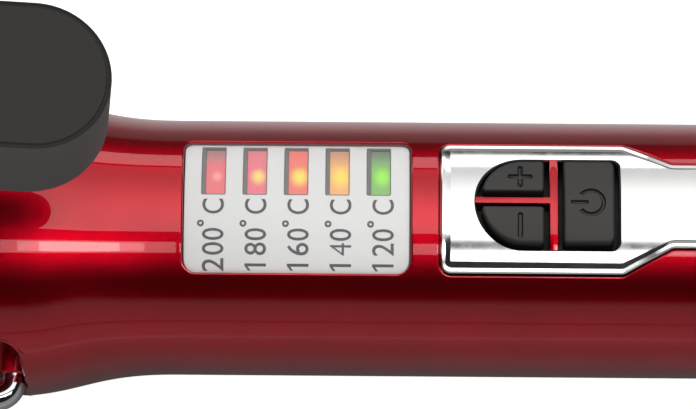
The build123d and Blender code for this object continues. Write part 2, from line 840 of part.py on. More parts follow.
clamp_inner = barrel_radius + plate_gap
clamp_outer = clamp_inner + plate_sheet
x_plate_rear = x_pivot - plate_from_pivot
x_plate_front = x_barrel_end + plate_short_of_tip
y_edge = clamp_outer * sin(radians(plate_half_angle)) + 0.5
z_edge = clamp_outer * cos(radians(plate_half_angle))
with BuildSketch() as plate_plan:
    with Locations(((x_plate_front + x_plate_rear) / 2, 0)):
        RectangleRounded(x_plate_rear - x_plate_front, 2 * y_edge, plate_corner)
with BuildPart() as clamp_plate:
    add(ring(clamp_inner, clamp_outer, x_plate_front, x_plate_rear))
    # an open sector with rounded ends
    add(prism(plate_plan.sketch, z_edge, above), mode=Mode.INTERSECT)
finish(clamp_plate.part, "clamp_plate")

# side view of the lever: lies on the clamp plate, arches over the hinge, climbs to the thumb pad
tilt = radians(pad_tilt)


def pad_point(along, depth):
    """Side-view point of the pad: along from its rear tip towards the front, depth below its top face."""
    x_point = x_pad_tip - along * cos(tilt) - depth * sin(tilt)
    z_point = pad_tip_z + along * sin(tilt) - depth * cos(tilt)
    return x_point, z_point


along_knee = lever_short_of_tip + lever_in_pad
x_knee, z_knee = pad_point(along_knee, pad_slot_from_top)
x_tab_front = x_pivot - lever_tab_from_pivot - lever_tab_length
x_tab_rear = x_pivot - lever_tab_from_pivot + 6
with BuildSketch() as tab_plan:
    with Locations(((x_tab_front + x_tab_rear) / 2, 0)):
        Rectangle(x_tab_rear - x_tab_front, 2 * lever_tab_half_width)
    fillet(tab_plan.vertices().group_by(Axis.X)[0], lever_tab_corner)
# tab on the clamp plate, curved to fit it
with BuildPart() as lever_tab:
    add(prism(tab_plan.sketch, 0, above))
    add(ring(clamp_outer + 0.01, clamp_outer + lever_sheet, x_tab_front, x_tab_rear), mode=Mode.INTERSECT)

with BuildPart() as lever_arm:
    add(lever_tab.part)
    # web that arches over the hinge and climbs to the pad, drawn from the side
    with BuildSketch(Plane.XZ.offset(-lever_half_width)):
        with BuildLine():
            z_tab = clamp_outer + 0.35
            z_tab_top = clamp_outer + lever_sheet
            Polyline(
                (x_tab_rear - 0.5, z_tab),
                (x_pivot - lever_web_radius - 1.6, z_tab),
                (x_pivot - lever_web_radius, pivot_z),
                (x_pivot - 0.5 * lever_web_radius, pivot_z + 0.9 * lever_web_radius),
                (x_pivot + 1.2, pivot_z + lever_web_radius + 2.4),
                pad_point(along_knee, pad_slot_from_top + lever_sheet / 2),
                pad_point(lever_short_of_tip, pad_slot_from_top + lever_sheet / 2),
                pad_point(lever_short_of_tip, pad_slot_from_top - lever_sheet / 2),
                pad_point(along_knee + 0.8, pad_slot_from_top - lever_sheet / 2),
                (x_pivot, pivot_z + lever_web_radius + 3.7),
                (x_pivot - 0.8 * lever_web_radius, pivot_z + 1.45 * lever_web_radius),
                (x_pivot - lever_web_radius - 2.0, z_tab_top + 0.4),
                (x_tab_rear - 0.5, z_tab_top),
                close=True,
            )
        make_face()
    extrude(amount=2 * lever_half_width)
    # the web narrows inside the pad
    for y0, y1 in ((-above, -lever_pad_half_width), (lever_pad_half_width, above)):
        add(block(x_knee - 1.5, x_pad_tip + 1, y0, y1, above, above * 2), mode=Mode.SUBTRACT)
    # ears outside the bracket
    for side in (-1, 1):
        y_in, y_out = sorted((side * (lever_half_width - lever_ear_sheet), side * lever_half_width))
        with BuildSketch(Plane.XZ.offset(-y_out)):
            with BuildLine():
                Polyline(
                    (x_pivot - lever_web_radius - 1.0, pivot_z - 1.5),
                    (x_pivot + 3.0, pivot_z - 3.2),
                    (x_pivot + 5.6, pivot_z + 4.0),
                    (x_knee - 2.5, z_knee - 2.6),
                    (x_knee - 4.0, z_knee - 3.2),
                    (x_pivot - lever_web_radius + 0.5, pivot_z + 5.0),
                    close=True,
                )
            make_face()
            with Locations((x_pivot, pivot_z)):
                Circle(lever_ear_radius)
        extrude(amount=y_out - y_in)
    with BuildSketch(Plane.XZ.offset(-above)):
        with Locations((x_pivot, pivot_z)):
            Circle(pin_radius + running_gap)
    extrude(amount=2 * above, mode=Mode.SUBTRACT)
    # rivet holes
    rivet_places = [(x_tab_front + 4.5 + rivet_pitch * i, 0) for i in range(2)]
    with BuildSketch(Plane.XY):
        with Locations(*rivet_places):
            Circle(rivet_radius)
    extrude(amount=above, mode=Mode.SUBTRACT)
finish(lever_arm.part, "lever_arm")

with BuildPart() as lever_rivets:
    z_rivet = clamp_outer + lever_sheet
    with BuildSketch(Plane.XY.offset(z_rivet)):
        with Locations(*rivet_places):
            Circle(rivet_head_radius)
    extrude(amount=rivet_head_height)
    with BuildSketch(Plane.XY.offset(clamp_outer)):
        with Locations(*rivet_places):
            Circle(rivet_radius - 0.02)
    extrude(amount=lever_sheet + 0.1)
finish(lever_rivets.part, "lever_rivets")

coil_pitch = spring_wire * 1.02
coil_length = coil_pitch * (spring_turns - 1)
coil_plane = Plane(origin=(x_pivot, -coil_length / 2, pivot_z), x_dir=(1, 0, 0), z_dir=(0, 1, 0))
with BuildPart() as return_spring:
    with BuildLine() as coil_path:
        coil = Helix(pitch=coil_pitch, height=coil_length, radius=spring_radius, mode=Mode.PRIVATE)
        add(coil_plane.from_local_coords(coil))
    with BuildSketch(Plane(origin=coil_path.line @ 0, z_dir=coil_path.line % 0)):
        Circle(spring_wire / 2)
    sweep(is_frenet=True)
    # one leg stands on the bracket's saddle, the other leans on the lever's web
    z_saddle = barrel_radius + bracket_sheet + 0.05
    y_leg = coil_length / 2
    with BuildSketch(Plane.XY.offset(z_saddle)):
        with Locations((x_pivot + spring_radius, -y_leg)):
            Circle(spring_wire / 2)
    extrude(amount=pivot_z - z_saddle)
    with BuildSketch(Plane.XY.offset(pivot_z)):
        with Locations((x_pivot + spring_radius, y_leg)):
            Circle(spring_wire / 2)
    extrude(amount=spring_leg)
finish(return_spring.part, "return_spring")

# ================================================================== thumb pad
pad_tip = (x_pad_tip, 0, pad_tip_z)
pad_face = Plane(origin=pad_tip, x_dir=(cos(tilt), 0, -sin(tilt)), z_dir=(sin(tilt), 0, cos(tilt)))
with BuildPart() as thumb_pad:
    with BuildSketch(pad_face) as pad_plan:
        half = pad_width / 2
        with BuildLine():
            Polyline((-half, half), (-pad_length, half), (-pad_length, -half), (-half, -half))
            ThreePointArc((-half, -half), (0, 0), (-half, half))
        make_face()
        fillet(pad_plan.vertices().sort_by(Axis.X)[:2], pad_front_corner)
    extrude(amount=-pad_height, taper=-pad_draft)
    fillet(thumb_pad.faces().sort_by(Axis.Z)[-1].edges(), pad_edge)
    # slot for the lever, open at the front
    y_slot = lever_pad_half_width + 0.03
    slot_length = pad_length - lever_short_of_tip + 0.05
    with BuildSketch(pad_face.offset(-pad_slot_from_top - lever_sheet / 2 - 0.03)):
        with Locations((-lever_short_of_tip + 0.05 - slot_length / 2 - 1, 0)):
            Rectangle(slot_length + 2, 2 * y_slot)
    extrude(amount=lever_sheet + 0.06, mode=Mode.SUBTRACT)
    # hollow where the climbing arm enters from below
    hollow_top = pad_slot_from_top - lever_sheet / 2 - 0.35
    with BuildSketch(Plane.XZ.offset(-lever_half_width - 0.2)):
        with BuildLine():
            Polyline(
                pad_point(pad_length + 2, hollow_top),
                pad_point(along_knee - 0.6, hollow_top),
                pad_point(along_knee - 0.6, pad_height + 2),
                pad_point(pad_length + 2, pad_height + 2),
                close=True,
            )
        make_face()
    extrude(amount=2 * lever_half_width + 0.4, mode=Mode.SUBTRACT)
finish(thumb_pad.part, "thumb_pad")

# ================================================================== wire stand
with BuildPart() as stand_wire:
    x_drop = x_stand - stand_run
    x_bar = x_stand - stand_length
    with BuildLine() as wire_path:
        w = stand_half_width
        FilletPolyline(
            (x_stand, -stand_pin_inner_y, 0),
            (x_stand, -w, 0),
            (x_drop, -w, 0),
            (x_bar, -w, -stand_drop),
            (x_bar, w, -stand_drop),
            (x_drop, w, 0),
            (x_stand, w, 0),
            (x_stand, stand_pin_inner_y, 0),
            radius=[stand_elbow, stand_corner, stand_corner, stand_corner, stand_corner, stand_elbow],
        )
    with BuildSketch(Plane(origin=wire_path.line @ 0, z_dir=wire_path.line % 0)):
        Circle(stand_wire_radius)
    sweep()
finish(stand_wire.part, "stand_wire")

with BuildPart() as stand_foot:
    y_foot = stand_half_width - stand_corner - 0.5
    with BuildSketch(Plane.XZ.offset(-y_foot)):
        with Locations((x_bar, -stand_drop)):
            Circle(stand_wire_radius + 1.0)
            Circle(stand_wire_radius + 0.01, mode=Mode.SUBTRACT)
    extrude(amount=2 * y_foot)
finish(stand_foot.part, "stand_foot")

# ================================================================== cord end
with BuildPart() as rear_cap:
    x_in = x_rear - rear_wall
    add(ring(0, cap_flange_radius, x_rear + 0.02, x_rear + cap_flange_thickness))
    add(ring(0, cap_radius, x_in - 0.1, x_rear + 0.1))
    add(ring(0, cap_flange_radius - 0.6, x_in - cap_flange_thickness, x_in - 0.02))
    add(ring(0, gland_neck_radius + running_gap, x_in - 10, x_rear + 10), mode=Mode.SUBTRACT)
finish(rear_cap.part, "rear_cap")

with BuildPart() as cord_gland:
    x_cap_out = x_rear + cap_flange_thickness + end_play + 0.1
    x_cap_in = x_rear - rear_wall - cap_flange_thickness - end_play - 0.1
    x_flange = x_cap_in - gland_flange_thickness
    add(
        turned(
            (x_flange - gland_inner_length, gland_inner_radius),
            (x_flange, gland_inner_radius),
            (x_flange, gland_flange_radius),
            (x_cap_in, gland_flange_radius),
            (x_cap_in, gland_neck_radius),
            (x_cap_out, gland_neck_radius),
            (x_cap_out, gland_flange_radius - 0.6),
            (x_cap_out + 1.2, gland_flange_radius),
            (x_cap_out + 3.4, gland_flange_radius - 0.2),
            (-1.0, gland_mouth_radius + 0.4),
            (0, gland_mouth_radius),
        )
    )
    add(ring(0, gland_bore_radius, x_flange - gland_inner_length - 1, 1), mode=Mode.SUBTRACT)
finish(cord_gland.part, "cord_gland")

ring_places = [x_flange - 4.0 - slip_ring_pitch * i for i in range(2)]
with BuildPart() as slip_rings:
    for x_ring in ring_places:
        half = slip_ring_width / 2
        add(ring(gland_inner_radius, gland_inner_radius + slip_ring_thickness, x_ring - half, x_ring + half))
finish(slip_rings.part, "slip_rings")

z_brush = -(gland_inner_radius + slip_ring_thickness + brush_gap)
with BuildPart() as brush_block:
    x0 = ring_places[1] - 3.0
    x1 = ring_places[0] + 2.6
    add(block(x0, x1, -4.5, 4.5, -above, z_brush - 1.4))
    add(handle_form(wall, x_front + front_wall, x_rear - rear_wall), mode=Mode.INTERSECT)
finish(brush_block.part, "brush_block")

with BuildPart() as brushes:
    for x_ring in ring_places:
        add(block(x_ring - 0.8, x_ring + 0.8, -2.5, 2.5, z_brush - 1.38, z_brush))
finish(brushes.part, "brushes")
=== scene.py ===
# %% [markdown]
# # A hair curling iron
# The measured solids come first, as a frame. Every finished piece is built around them, in metres, and moves with
# one of their bodies. The pieces are modelled as by hand in the viewport, one operator after another.

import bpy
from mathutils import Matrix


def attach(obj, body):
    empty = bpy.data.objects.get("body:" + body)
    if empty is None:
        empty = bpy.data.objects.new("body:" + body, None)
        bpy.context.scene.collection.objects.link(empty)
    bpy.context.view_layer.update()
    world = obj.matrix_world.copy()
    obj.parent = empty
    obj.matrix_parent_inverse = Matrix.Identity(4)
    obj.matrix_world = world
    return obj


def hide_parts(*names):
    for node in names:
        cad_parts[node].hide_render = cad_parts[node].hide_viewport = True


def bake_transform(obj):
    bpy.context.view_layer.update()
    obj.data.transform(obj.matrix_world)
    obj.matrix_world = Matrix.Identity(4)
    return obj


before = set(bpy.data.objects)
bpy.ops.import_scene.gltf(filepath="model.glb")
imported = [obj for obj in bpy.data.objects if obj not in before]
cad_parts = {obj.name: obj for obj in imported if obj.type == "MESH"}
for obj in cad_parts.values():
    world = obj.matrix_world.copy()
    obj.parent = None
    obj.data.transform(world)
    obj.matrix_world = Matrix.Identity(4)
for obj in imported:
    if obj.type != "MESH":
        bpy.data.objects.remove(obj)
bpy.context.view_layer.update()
print("solids:", len(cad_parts))

# %% Tools of the lesson
from math import asin, atan2, cos, degrees, pi, radians, sin, sqrt, tan

import bmesh
import bpy
from mathutils import Matrix, Vector

MM = 0.001

# %% [markdown]
# ## The camera
# The camera stands above the handle and towards the user's side, so that the panel faces up the picture. It could
# stand close with a short lens, but a long lens far away keeps the two edges of the grip parallel.

# %% Camera
VIEW_TILT = radians(22.0)  # between the panel's normal and the line of sight
VIEW_ROLL = radians(0.44)
VIEW_DISTANCE = 0.6
SCALE_PX_PER_M = 8470.0
PICTURE_WIDTH = 696
SENSOR_WIDTH = 36.0
x_middle = -0.098
axis_below_centre = 44.4 / SCALE_PX_PER_M

towards_camera = Vector((0, -sin(VIEW_TILT), cos(VIEW_TILT)))
view_up = Vector((0, cos(VIEW_TILT), sin(VIEW_TILT)))
view_right = Vector((1, 0, 0))
up = view_up * cos(VIEW_ROLL) - view_right * sin(VIEW_ROLL)
right = view_right * cos(VIEW_ROLL) + view_up * sin(VIEW_ROLL)
target = Vector((x_middle, 0, 0)) + view_up * axis_below_centre

bpy.ops.object.camera_add(location=target + towards_camera * VIEW_DISTANCE)
camera = bpy.context.object
camera.name = "camera"
camera.rotation_euler = Matrix((right, up, towards_camera)).transposed().to_euler()
camera.data.sensor_width = SENSOR_WIDTH
camera.data.lens = SCALE_PX_PER_M * VIEW_DISTANCE * SENSOR_WIDTH / PICTURE_WIDTH
camera.data.clip_start = 0.01
camera.data.clip_end = 50.0
bpy.context.scene.camera = camera
print("lens", round(camera.data.lens, 1), "mm at", VIEW_DISTANCE, "m")

# %% [markdown]
# ## Hands for the workshop
# Every operator acts on what is selected, so a few helpers do the selecting. They could be written out each time,
# but short names keep the steps of each piece readable.


# %% Hold, enter and pick
def let_go():
    """Leaves edit mode and selects nothing."""
    if bpy.context.object and bpy.context.object.mode == "EDIT":
        bpy.ops.object.mode_set(mode="OBJECT")
    bpy.ops.object.select_all(action="DESELECT")


def hold(*pieces):
    """Selects these pieces, the first one active."""
    let_go()
    for piece in pieces:
        piece.select_set(True)
    bpy.context.view_layer.objects.active = pieces[0]


def discard(piece):
    """Deletes a piece."""
    hold(piece)
    bpy.ops.object.delete()


def enter(piece):
    """Opens a piece in edit mode with everything selected."""
    hold(piece)
    bpy.ops.object.mode_set(mode="EDIT")
    bpy.ops.mesh.select_all(action="SELECT")


def pick(piece, kind, test):
    """In edit mode, selects the vertices, edges or faces that pass a test."""
    bpy.ops.mesh.select_mode(type=kind)
    bpy.ops.mesh.select_all(action="DESELECT")
    mesh = bmesh.from_edit_mesh(piece.data)
    things = {"VERT": mesh.verts, "EDGE": mesh.edges, "FACE": mesh.faces}[kind]
    chosen = [thing for thing in things if test(thing)]
    for thing in chosen:
        thing.select = True
    mesh.select_flush(True)
    bmesh.update_edit_mesh(piece.data)
    return len(chosen)


def apply_modifier(piece, kind, **settings):
    """Adds a modifier and applies it at once."""
    hold(piece)
    bpy.ops.object.modifier_add(type=kind)
    modifier = piece.modifiers[-1]
    for setting, value in settings.items():
        setattr(modifier, setting, value)
    bpy.ops.object.modifier_apply(modifier=modifier.name)


def carve(piece, tool, operation="DIFFERENCE"):
    """Cuts, joins or keeps a piece with a tool, and throws the tool away."""
    apply_modifier(piece, "BOOLEAN", object=tool, operation=operation, solver="EXACT")
    discard(tool)


def twin(piece, name):
    """A copy with its own mesh."""
    hold(piece)
    bpy.ops.object.duplicate(linked=False)
    copy = bpy.context.object
    copy.name = name
    return copy


def join(name, *pieces):
    """Makes one piece of several."""
    hold(*pieces)
    if len(pieces) > 1:
        bpy.ops.object.join()
    pieces[0].name = name
    return pieces[0]


def settle(piece):
    """Puts an object's place into its mesh."""
    hold(piece)
    bpy.ops.object.transform_apply(location=True, rotation=True, scale=True)
    let_go()


def aim(piece, place, turn=(0, 0, 0)):
    """Turns a piece by degrees and moves it to a place in mm, and puts both into its mesh."""
    piece.rotation_euler = [radians(angle) for angle in turn]
    piece.location = [c * MM for c in place]
    settle(piece)
    return piece


def smooth(piece, angle=35.0):
    """Smooth shading that keeps edges sharper than this angle."""
    hold(piece)
    bpy.ops.object.shade_smooth_by_angle(angle=radians(angle))
    let_go()


print("helpers ready")


# %% [markdown]
# Three ways of starting a piece come up again and again. A profile is spun about the long axis, as on a lathe. A
# plan with rounded corners is pulled up into a flat piece. A flat piece is laid on the round grip, as a label is
# laid on a bottle.


# %% Draw, turn, pull up and lay round
ON_POINT = 0.01  # mm within which a vertex is taken to lie on a point


def draw(name, points, closed=False):
    """A chain of edges through points in metres. Stays in edit mode."""
    let_go()
    bpy.ops.mesh.primitive_plane_add(size=MM, location=(0, 0, 0))
    piece = bpy.context.object
    piece.name = name
    bpy.ops.object.mode_set(mode="EDIT")
    bpy.ops.mesh.select_mode(type="VERT")
    bpy.ops.mesh.select_all(action="SELECT")
    bpy.ops.mesh.merge(type="CENTER")
    bpy.ops.transform.translate(value=points[0])
    for start, end in zip(points, points[1:]):
        step = Vector(end) - Vector(start)
        bpy.ops.mesh.extrude_region_move(TRANSFORM_OT_translate={"value": step})
    bpy.ops.mesh.select_all(action="SELECT")
    if closed:
        bpy.ops.mesh.edge_face_add()
    return piece


def close_up(weld=None):
    """In edit mode, welds the seams if asked, turns the normals outwards and leaves."""
    bpy.ops.mesh.select_all(action="SELECT")
    if weld:
        bpy.ops.mesh.remove_doubles(threshold=weld)
    bpy.ops.mesh.normals_make_consistent(inside=False)
    let_go()


def turned(name, stations, sides=128, closed=False):
    """A profile of (x, radius) stations in mm, spun about the long axis."""
    stations = stations + stations[:1] if closed else stations
    piece = draw(name, [(x * MM, 0, radius * MM) for x, radius in stations])
    bpy.ops.mesh.spin(steps=sides, angle=2 * pi, center=(0, 0, 0), axis=(1, 0, 0))
    close_up(2e-6)
    return piece


def flipped(corners):
    """Corners mirrored to the other side, in the order that carries an outline on."""
    return [(x, -y, last) for x, y, last in corners[::-1]]


def grown(corners, by):
    """The (x, y, radius) corners of an outline drawn anticlockwise, moved outwards."""
    moved = []
    for i, (x, y, radius) in enumerate(corners):
        before = Vector(corners[i - 1][:2])
        here = Vector((x, y))
        after = Vector(corners[(i + 1) % len(corners)][:2])
        run_in = (here - before).normalized()
        run_out = (after - here).normalized()
        out_in = Vector((run_in.y, -run_in.x))
        out_out = Vector((run_out.y, -run_out.x))
        place = here + (out_in + out_out) * (by / (1 + out_in.dot(out_out)))
        convex = run_in.x * run_out.y - run_in.y * run_out.x > 0
        moved.append((place.x, place.y, max(0.0, radius + by if convex else radius - by)))
    return moved


def round_corner(piece, before, here, after, radius, steps):
    """In edit mode, rounds the corner at a point in mm, between its neighbours in a chain or outline."""
    here = Vector(here)
    to_last = (Vector(before) - here).normalized()
    to_next = (Vector(after) - here).normalized()
    pick(piece, "VERT", lambda v: (Vector(v.co[: len(here)]) / MM - here).length < ON_POINT)
    slide = radius / tan(to_last.angle(to_next) / 2)
    bpy.ops.mesh.bevel(offset=slide * MM, segments=steps, affect="VERTICES", offset_type="OFFSET")


def flat_piece(name, corners, base, *moves, steps=8):
    """A plan of (x, y, radius) corners at a base height, pulled up and stepped in by (inwards, upwards) moves."""
    piece = draw(name, [(x * MM, y * MM, base * MM) for x, y, radius in corners], closed=True)
    for i, (x, y, radius) in enumerate(corners):
        if radius > 0:
            after = corners[(i + 1) % len(corners)]
            round_corner(piece, corners[i - 1][:2], (x, y), after[:2], radius, steps)
    bpy.ops.mesh.select_all(action="SELECT")
    for inwards, upwards in moves:
        if inwards:
            bpy.ops.mesh.inset(thickness=inwards * MM, depth=0, use_even_offset=True)
            bpy.ops.transform.translate(value=(0, 0, upwards * MM))
        else:
            bpy.ops.mesh.extrude_region_move(TRANSFORM_OT_translate={"value": (0, 0, upwards * MM)})
    close_up()
    return piece


def lay_round(piece, radius, pitch=0.4):
    """Cuts a flat piece into strips and lays it on a cylinder about the long axis."""
    ys = [v.co.y / MM for v in piece.data.vertices]
    first = int(min(ys) / pitch) - 1
    last = int(max(ys) / pitch) + 1
    enter(piece)
    for i in range(first, last + 1):
        bpy.ops.mesh.select_all(action="SELECT")
        bpy.ops.mesh.bisect(plane_co=(0, i * pitch * MM, 0), plane_no=(0, 1, 0))
    let_go()
    for v in piece.data.vertices:
        level = radius * MM + v.co.z
        v.co.z = sqrt(level * level - v.co.y * v.co.y)
    return piece


print("ways of starting ready")


# %% True normals
def true_normals(piece, normal_at, test, angle=35.0):
    """Smooth shading, with the exact normal on every face whose centre passes the test."""
    smooth(piece, angle)
    mesh = piece.data
    normals = [Vector((0, 0, 0))] * len(mesh.loops)
    for face in mesh.polygons:
        if test(face.center, face.normal):
            for loop in face.loop_indices:
                normals[loop] = normal_at(mesh.vertices[mesh.loops[loop].vertex_index].co)
    mesh.normals_split_custom_set(normals)


def radial(point):
    """The normal of a cylinder about the long axis."""
    return Vector((0, point.y, point.z)).normalized()


def faces_out(centre, normal):
    """Whether a face lies along a cylinder about the long axis and looks outwards."""
    return normal.dot(radial(centre)) > 0.9995


print("normals ready")

# %% [markdown]
# ## Shader sums
# A material is a sum of masks, noises and colours. Wiring each Math node hides the sum, so a small class wraps a
# socket and turns Python's signs into nodes.


# %% Sums of sockets
class Mixture:
    """A socket that can be added, multiplied and compared in Python."""

    def __init__(self, recipe, socket):
        self.recipe = recipe
        self.socket = socket

    def sum(self, operation, *others, clamp=False):
        node = self.recipe.tree.nodes.new("ShaderNodeMath")
        node.operation = operation
        node.use_clamp = clamp
        for i, value in enumerate((self, *others)):
            self.recipe.plug(node.inputs[i], value)
        return Mixture(self.recipe, node.outputs[0])

    def __add__(self, other):
        return self.sum("ADD", other)

    def __sub__(self, other):
        return self.sum("SUBTRACT", other)

    def __mul__(self, other):
        return self.sum("MULTIPLY", other)

    def __truediv__(self, other):
        return self.sum("DIVIDE", other)

    def __rsub__(self, other):
        return (self * -1).sum("ADD", other)

    def __pow__(self, other):
        return self.sum("POWER", other)

    __radd__ = __add__
    __rmul__ = __mul__

    def within(self):
        """Held between 0 and 1."""
        return self.sum("ADD", 0.0, clamp=True)

    def rise(self, start, end):
        """0 below start, 1 above end, smooth between."""
        steps = {"From Min": start, "From Max": end, "Value": self}
        return self.recipe.node("MapRange", {"interpolation_type": "SMOOTHSTEP"}, steps, "Result")


class Recipe:
    """The node tree of a new material, or of a new world."""

    def __init__(self, name, family=None):
        self.owner = (bpy.data.materials if family is None else family).new(name)
        self.owner.use_nodes = True
        self.tree = self.owner.node_tree
        nodes = self.tree.nodes
        self.shader = nodes.get("Principled BSDF") or nodes["Background"]
        self.out = nodes.get("Material Output") or nodes["World Output"]

    def plug(self, socket, value):
        """Links a mixture, or writes a plain value."""
        if isinstance(value, Mixture):
            self.tree.links.new(value.socket, socket)
        elif isinstance(value, (tuple, list)) and socket.type == "RGBA" and len(value) == 3:
            socket.default_value = (*value, 1)
        else:
            socket.default_value = value

    def node(self, kind, settings=None, inputs=None, output=0):
        """A node of a kind, its settings first, then its sockets."""
        node = self.tree.nodes.new("ShaderNode" + kind)
        for setting, value in (settings or {}).items():
            setattr(node, setting, value)
        for name, value in (inputs or {}).items():
            self.plug(node.inputs[name], value)
        return Mixture(self, node.outputs[output])

    def noise(self, per_metre, detail=3.0, rough=0.5, scale=None):
        """Soft noise with this many grains a metre, drawn out along an axis where its scale is small."""
        where = self.node("TexCoord", output="Object")
        if scale:
            where = self.node("Mapping", None, {"Vector": where, "Scale": scale})
        values = {"Vector": where, "Scale": per_metre, "Detail": detail, "Roughness": rough}
        return self.node("TexNoise", None, values, "Fac")

    def axis(self, which, kind="Object"):
        """One coordinate, in metres where it is the object's."""
        spot = self.node("TexCoord", output=kind)
        return self.node("SeparateXYZ", None, {"Vector": spot}, which)

    def seen(self):
        """1 where the camera looks straight at it or through a clear pane, else 0."""
        camera_ray = self.node("LightPath", output="Is Camera Ray")
        return (camera_ray + self.node("LightPath", output="Is Transmission Ray")).within()

    def blend(self, factor, first, second):
        """A colour between two colours."""
        values = {"Factor": factor, "A": first, "B": second}
        return self.node("Mix", {"data_type": "RGBA"}, values, "Result")

    def bump(self, height, depth, strength=1.0):
        """A normal from a height of 0 to 1 and a depth in metres."""
        values = {"Height": height, "Distance": depth, "Strength": strength}
        return self.node("Bump", None, values, "Normal")

    def surface(self, **values):
        """Writes the shader's sockets, underscores for spaces."""
        for name, value in values.items():
            self.plug(self.shader.inputs[name.replace("_", " ")], value)
        return self.owner

    def replace_surface(self, mixture):
        """Puts another shader in the place of the first one."""
        self.tree.links.new(mixture.socket, self.out.inputs["Surface"])
        return self.owner


def coat_with(piece, *materials):
    """Gives a piece its materials, the first one everywhere."""
    piece.data.materials.clear()
    for material in materials:
        piece.data.materials.append(material)


def finish_piece(piece, material, body, slot, *nodes, angle=None):
    """Smooths and colours a piece where asked, lets it ride on a body, and hides the solids that it stands in for."""
    if angle:
        smooth(piece, angle)
    if material:
        coat_with(piece, material)
    settle(piece)
    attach(piece, body)
    if nodes:
        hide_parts(*nodes)
    triangles = sum(len(face.vertices) - 2 for face in piece.data.polygons)
    print(piece.name, "rides on", body, "with", triangles, "triangles")


print("shader sums ready")

# %% [markdown]
# ## Candy lacquer
# The handle is moulded plastic with a metallic red lacquer. A flat red would look like a toy. A red metal base, its
# normal shaken by tiny cells for the flakes, gives dark and bright bands, and the clear coat on top keeps its own
# sharp reflection.

# %% Candy red
FLAKES_PER_METRE, FLAKE_DEPTH = 7000.0, 0.000005
recipe = Recipe("candy_red")
cells = recipe.node("TexVoronoi", {"feature": "F1"}, {"Scale": FLAKES_PER_METRE}, "Color")
flake = recipe.node("SeparateColor", None, {"Color": cells}, "Red")
cloud = recipe.noise(160.0, 2.0)
film_depth = (flake * 0.55 + cloud * 0.45).within()
candy_red = recipe.surface(
    Base_Color=recipe.blend(film_depth, (0.30, 0.0002, 0.005), (0.60, 0.0025, 0.016)),
    Metallic=1.0,
    Roughness=(0.22 + flake * 0.08),
    Normal=recipe.bump(flake, FLAKE_DEPTH, 0.5),
    Coat_Weight=1.0,
    Coat_Roughness=0.02,
    Coat_IOR=1.5,
)
print("lacquer with", len(recipe.tree.nodes), "nodes")

# %% [markdown]
# ## Bright metal
# Plating is never a perfect mirror: it has a faint haze and fine wiping marks. One recipe makes all the metals, with
# a different tint, haze and direction of marks.


# %% Plating
def plating(name, tint, haze, mark_scale=(1, 1, 1), mark_depth=0.0):
    """A plated finish with haze and fine marks."""
    recipe = Recipe(name)
    patches = recipe.noise(90.0, 2.0)
    marks = recipe.noise(900.0, 4.0, 0.6, mark_scale)
    values = {
        "Base_Color": recipe.blend(patches, tuple(0.95 * c for c in tint), tint),
        "Metallic": 1.0,
        "Roughness": (marks * haze + patches * (0.5 * haze) + 0.4 * haze),
    }
    if mark_depth:
        values["Normal"] = recipe.bump(marks, mark_depth, 0.4)
    return recipe.surface(**values)


trim_chrome = plating("trim_chrome", (0.92, 0.92, 0.91), 0.13)
wire_chrome = plating("wire_chrome", (0.60, 0.60, 0.60), 0.08)
barrel_chrome = plating("barrel_chrome", (0.58, 0.575, 0.57), 0.16, (1, 0.02, 0.02))
brushed_steel = plating("brushed_steel", (0.52, 0.515, 0.50), 0.34, (0.03, 1, 1), 0.000002)
spring_steel = plating("spring_steel", (0.36, 0.35, 0.33), 0.40)
brass = plating("brass_contact", (0.60, 0.42, 0.16), 0.35)
heater_aluminium = plating("heater_aluminium", (0.66, 0.66, 0.67), 0.42, (0.05, 1, 1), 0.000003)
print("plating ready")

# %% [markdown]
# ## Plastics
# The keys and the thumb pad have a spark-eroded grain, which scatters light softly. A fine noise bump gives the
# grain, and a slow noise the slight unevenness of the moulding.


# %% Moulded plastic
def moulded(name, dark, light, shine, grain=4200.0, grain_depth=0.000012):
    """Moulded plastic between two close colours."""
    recipe = Recipe(name)
    slow = recipe.noise(70.0, 2.0)
    fine = recipe.noise(grain, 3.0, 0.6)
    return recipe.surface(
        Base_Color=recipe.blend((slow * 0.6 + fine * 0.4).within(), dark, light),
        Roughness=(shine + slow * 0.10 + fine * 0.06),
        Normal=recipe.bump(fine, grain_depth, 0.35),
    )


key_grey = moulded("key_grey", (0.023, 0.021, 0.0195), (0.033, 0.030, 0.0275), 0.48)
pad_black = moulded("pad_black", (0.0225, 0.021, 0.0192), (0.0305, 0.0288, 0.0265), 0.58)
pad_black.node_tree.nodes["Principled BSDF"].inputs["Specular IOR Level"].default_value = 0.25
# a lighter, slightly rougher copy of the pad's black for its side walls: the rougher grain is real, the lighter colour
# is painted light
pad_side_painted_light = moulded("pad_side_painted_light", (0.060, 0.0565, 0.0535), (0.076, 0.0720, 0.0685), 0.62)
black_plastic = moulded("black_plastic", (0.014, 0.014, 0.014), (0.024, 0.023, 0.023), 0.36)
foot_rubber = moulded("foot_rubber", (0.016, 0.016, 0.016), (0.030, 0.029, 0.028), 0.66)
part_black = moulded("part_black", (0.006, 0.006, 0.006), (0.012, 0.012, 0.012), 0.45)
scale_white = moulded("scale_white", (0.72, 0.72, 0.705), (0.78, 0.78, 0.77), 0.38, 2600.0, 0.000004)
well_grey = moulded("well_grey", (0.07, 0.07, 0.07), (0.13, 0.13, 0.125), 0.30)
print_grey = moulded("print_grey", (0.006, 0.006, 0.006), (0.012, 0.012, 0.012), 0.55)
lead_sleeve = moulded("lead_sleeve", (0.42, 0.36, 0.26), (0.50, 0.44, 0.33), 0.5)
heater_ceramic = moulded("heater_ceramic", (0.62, 0.58, 0.50), (0.74, 0.70, 0.62), 0.55)
board_green = moulded("board_green", (0.010, 0.075, 0.030), (0.018, 0.110, 0.045), 0.35)
can_sleeve = moulded("can_sleeve", (0.020, 0.026, 0.050), (0.030, 0.038, 0.070), 0.30)
print("plastics ready")

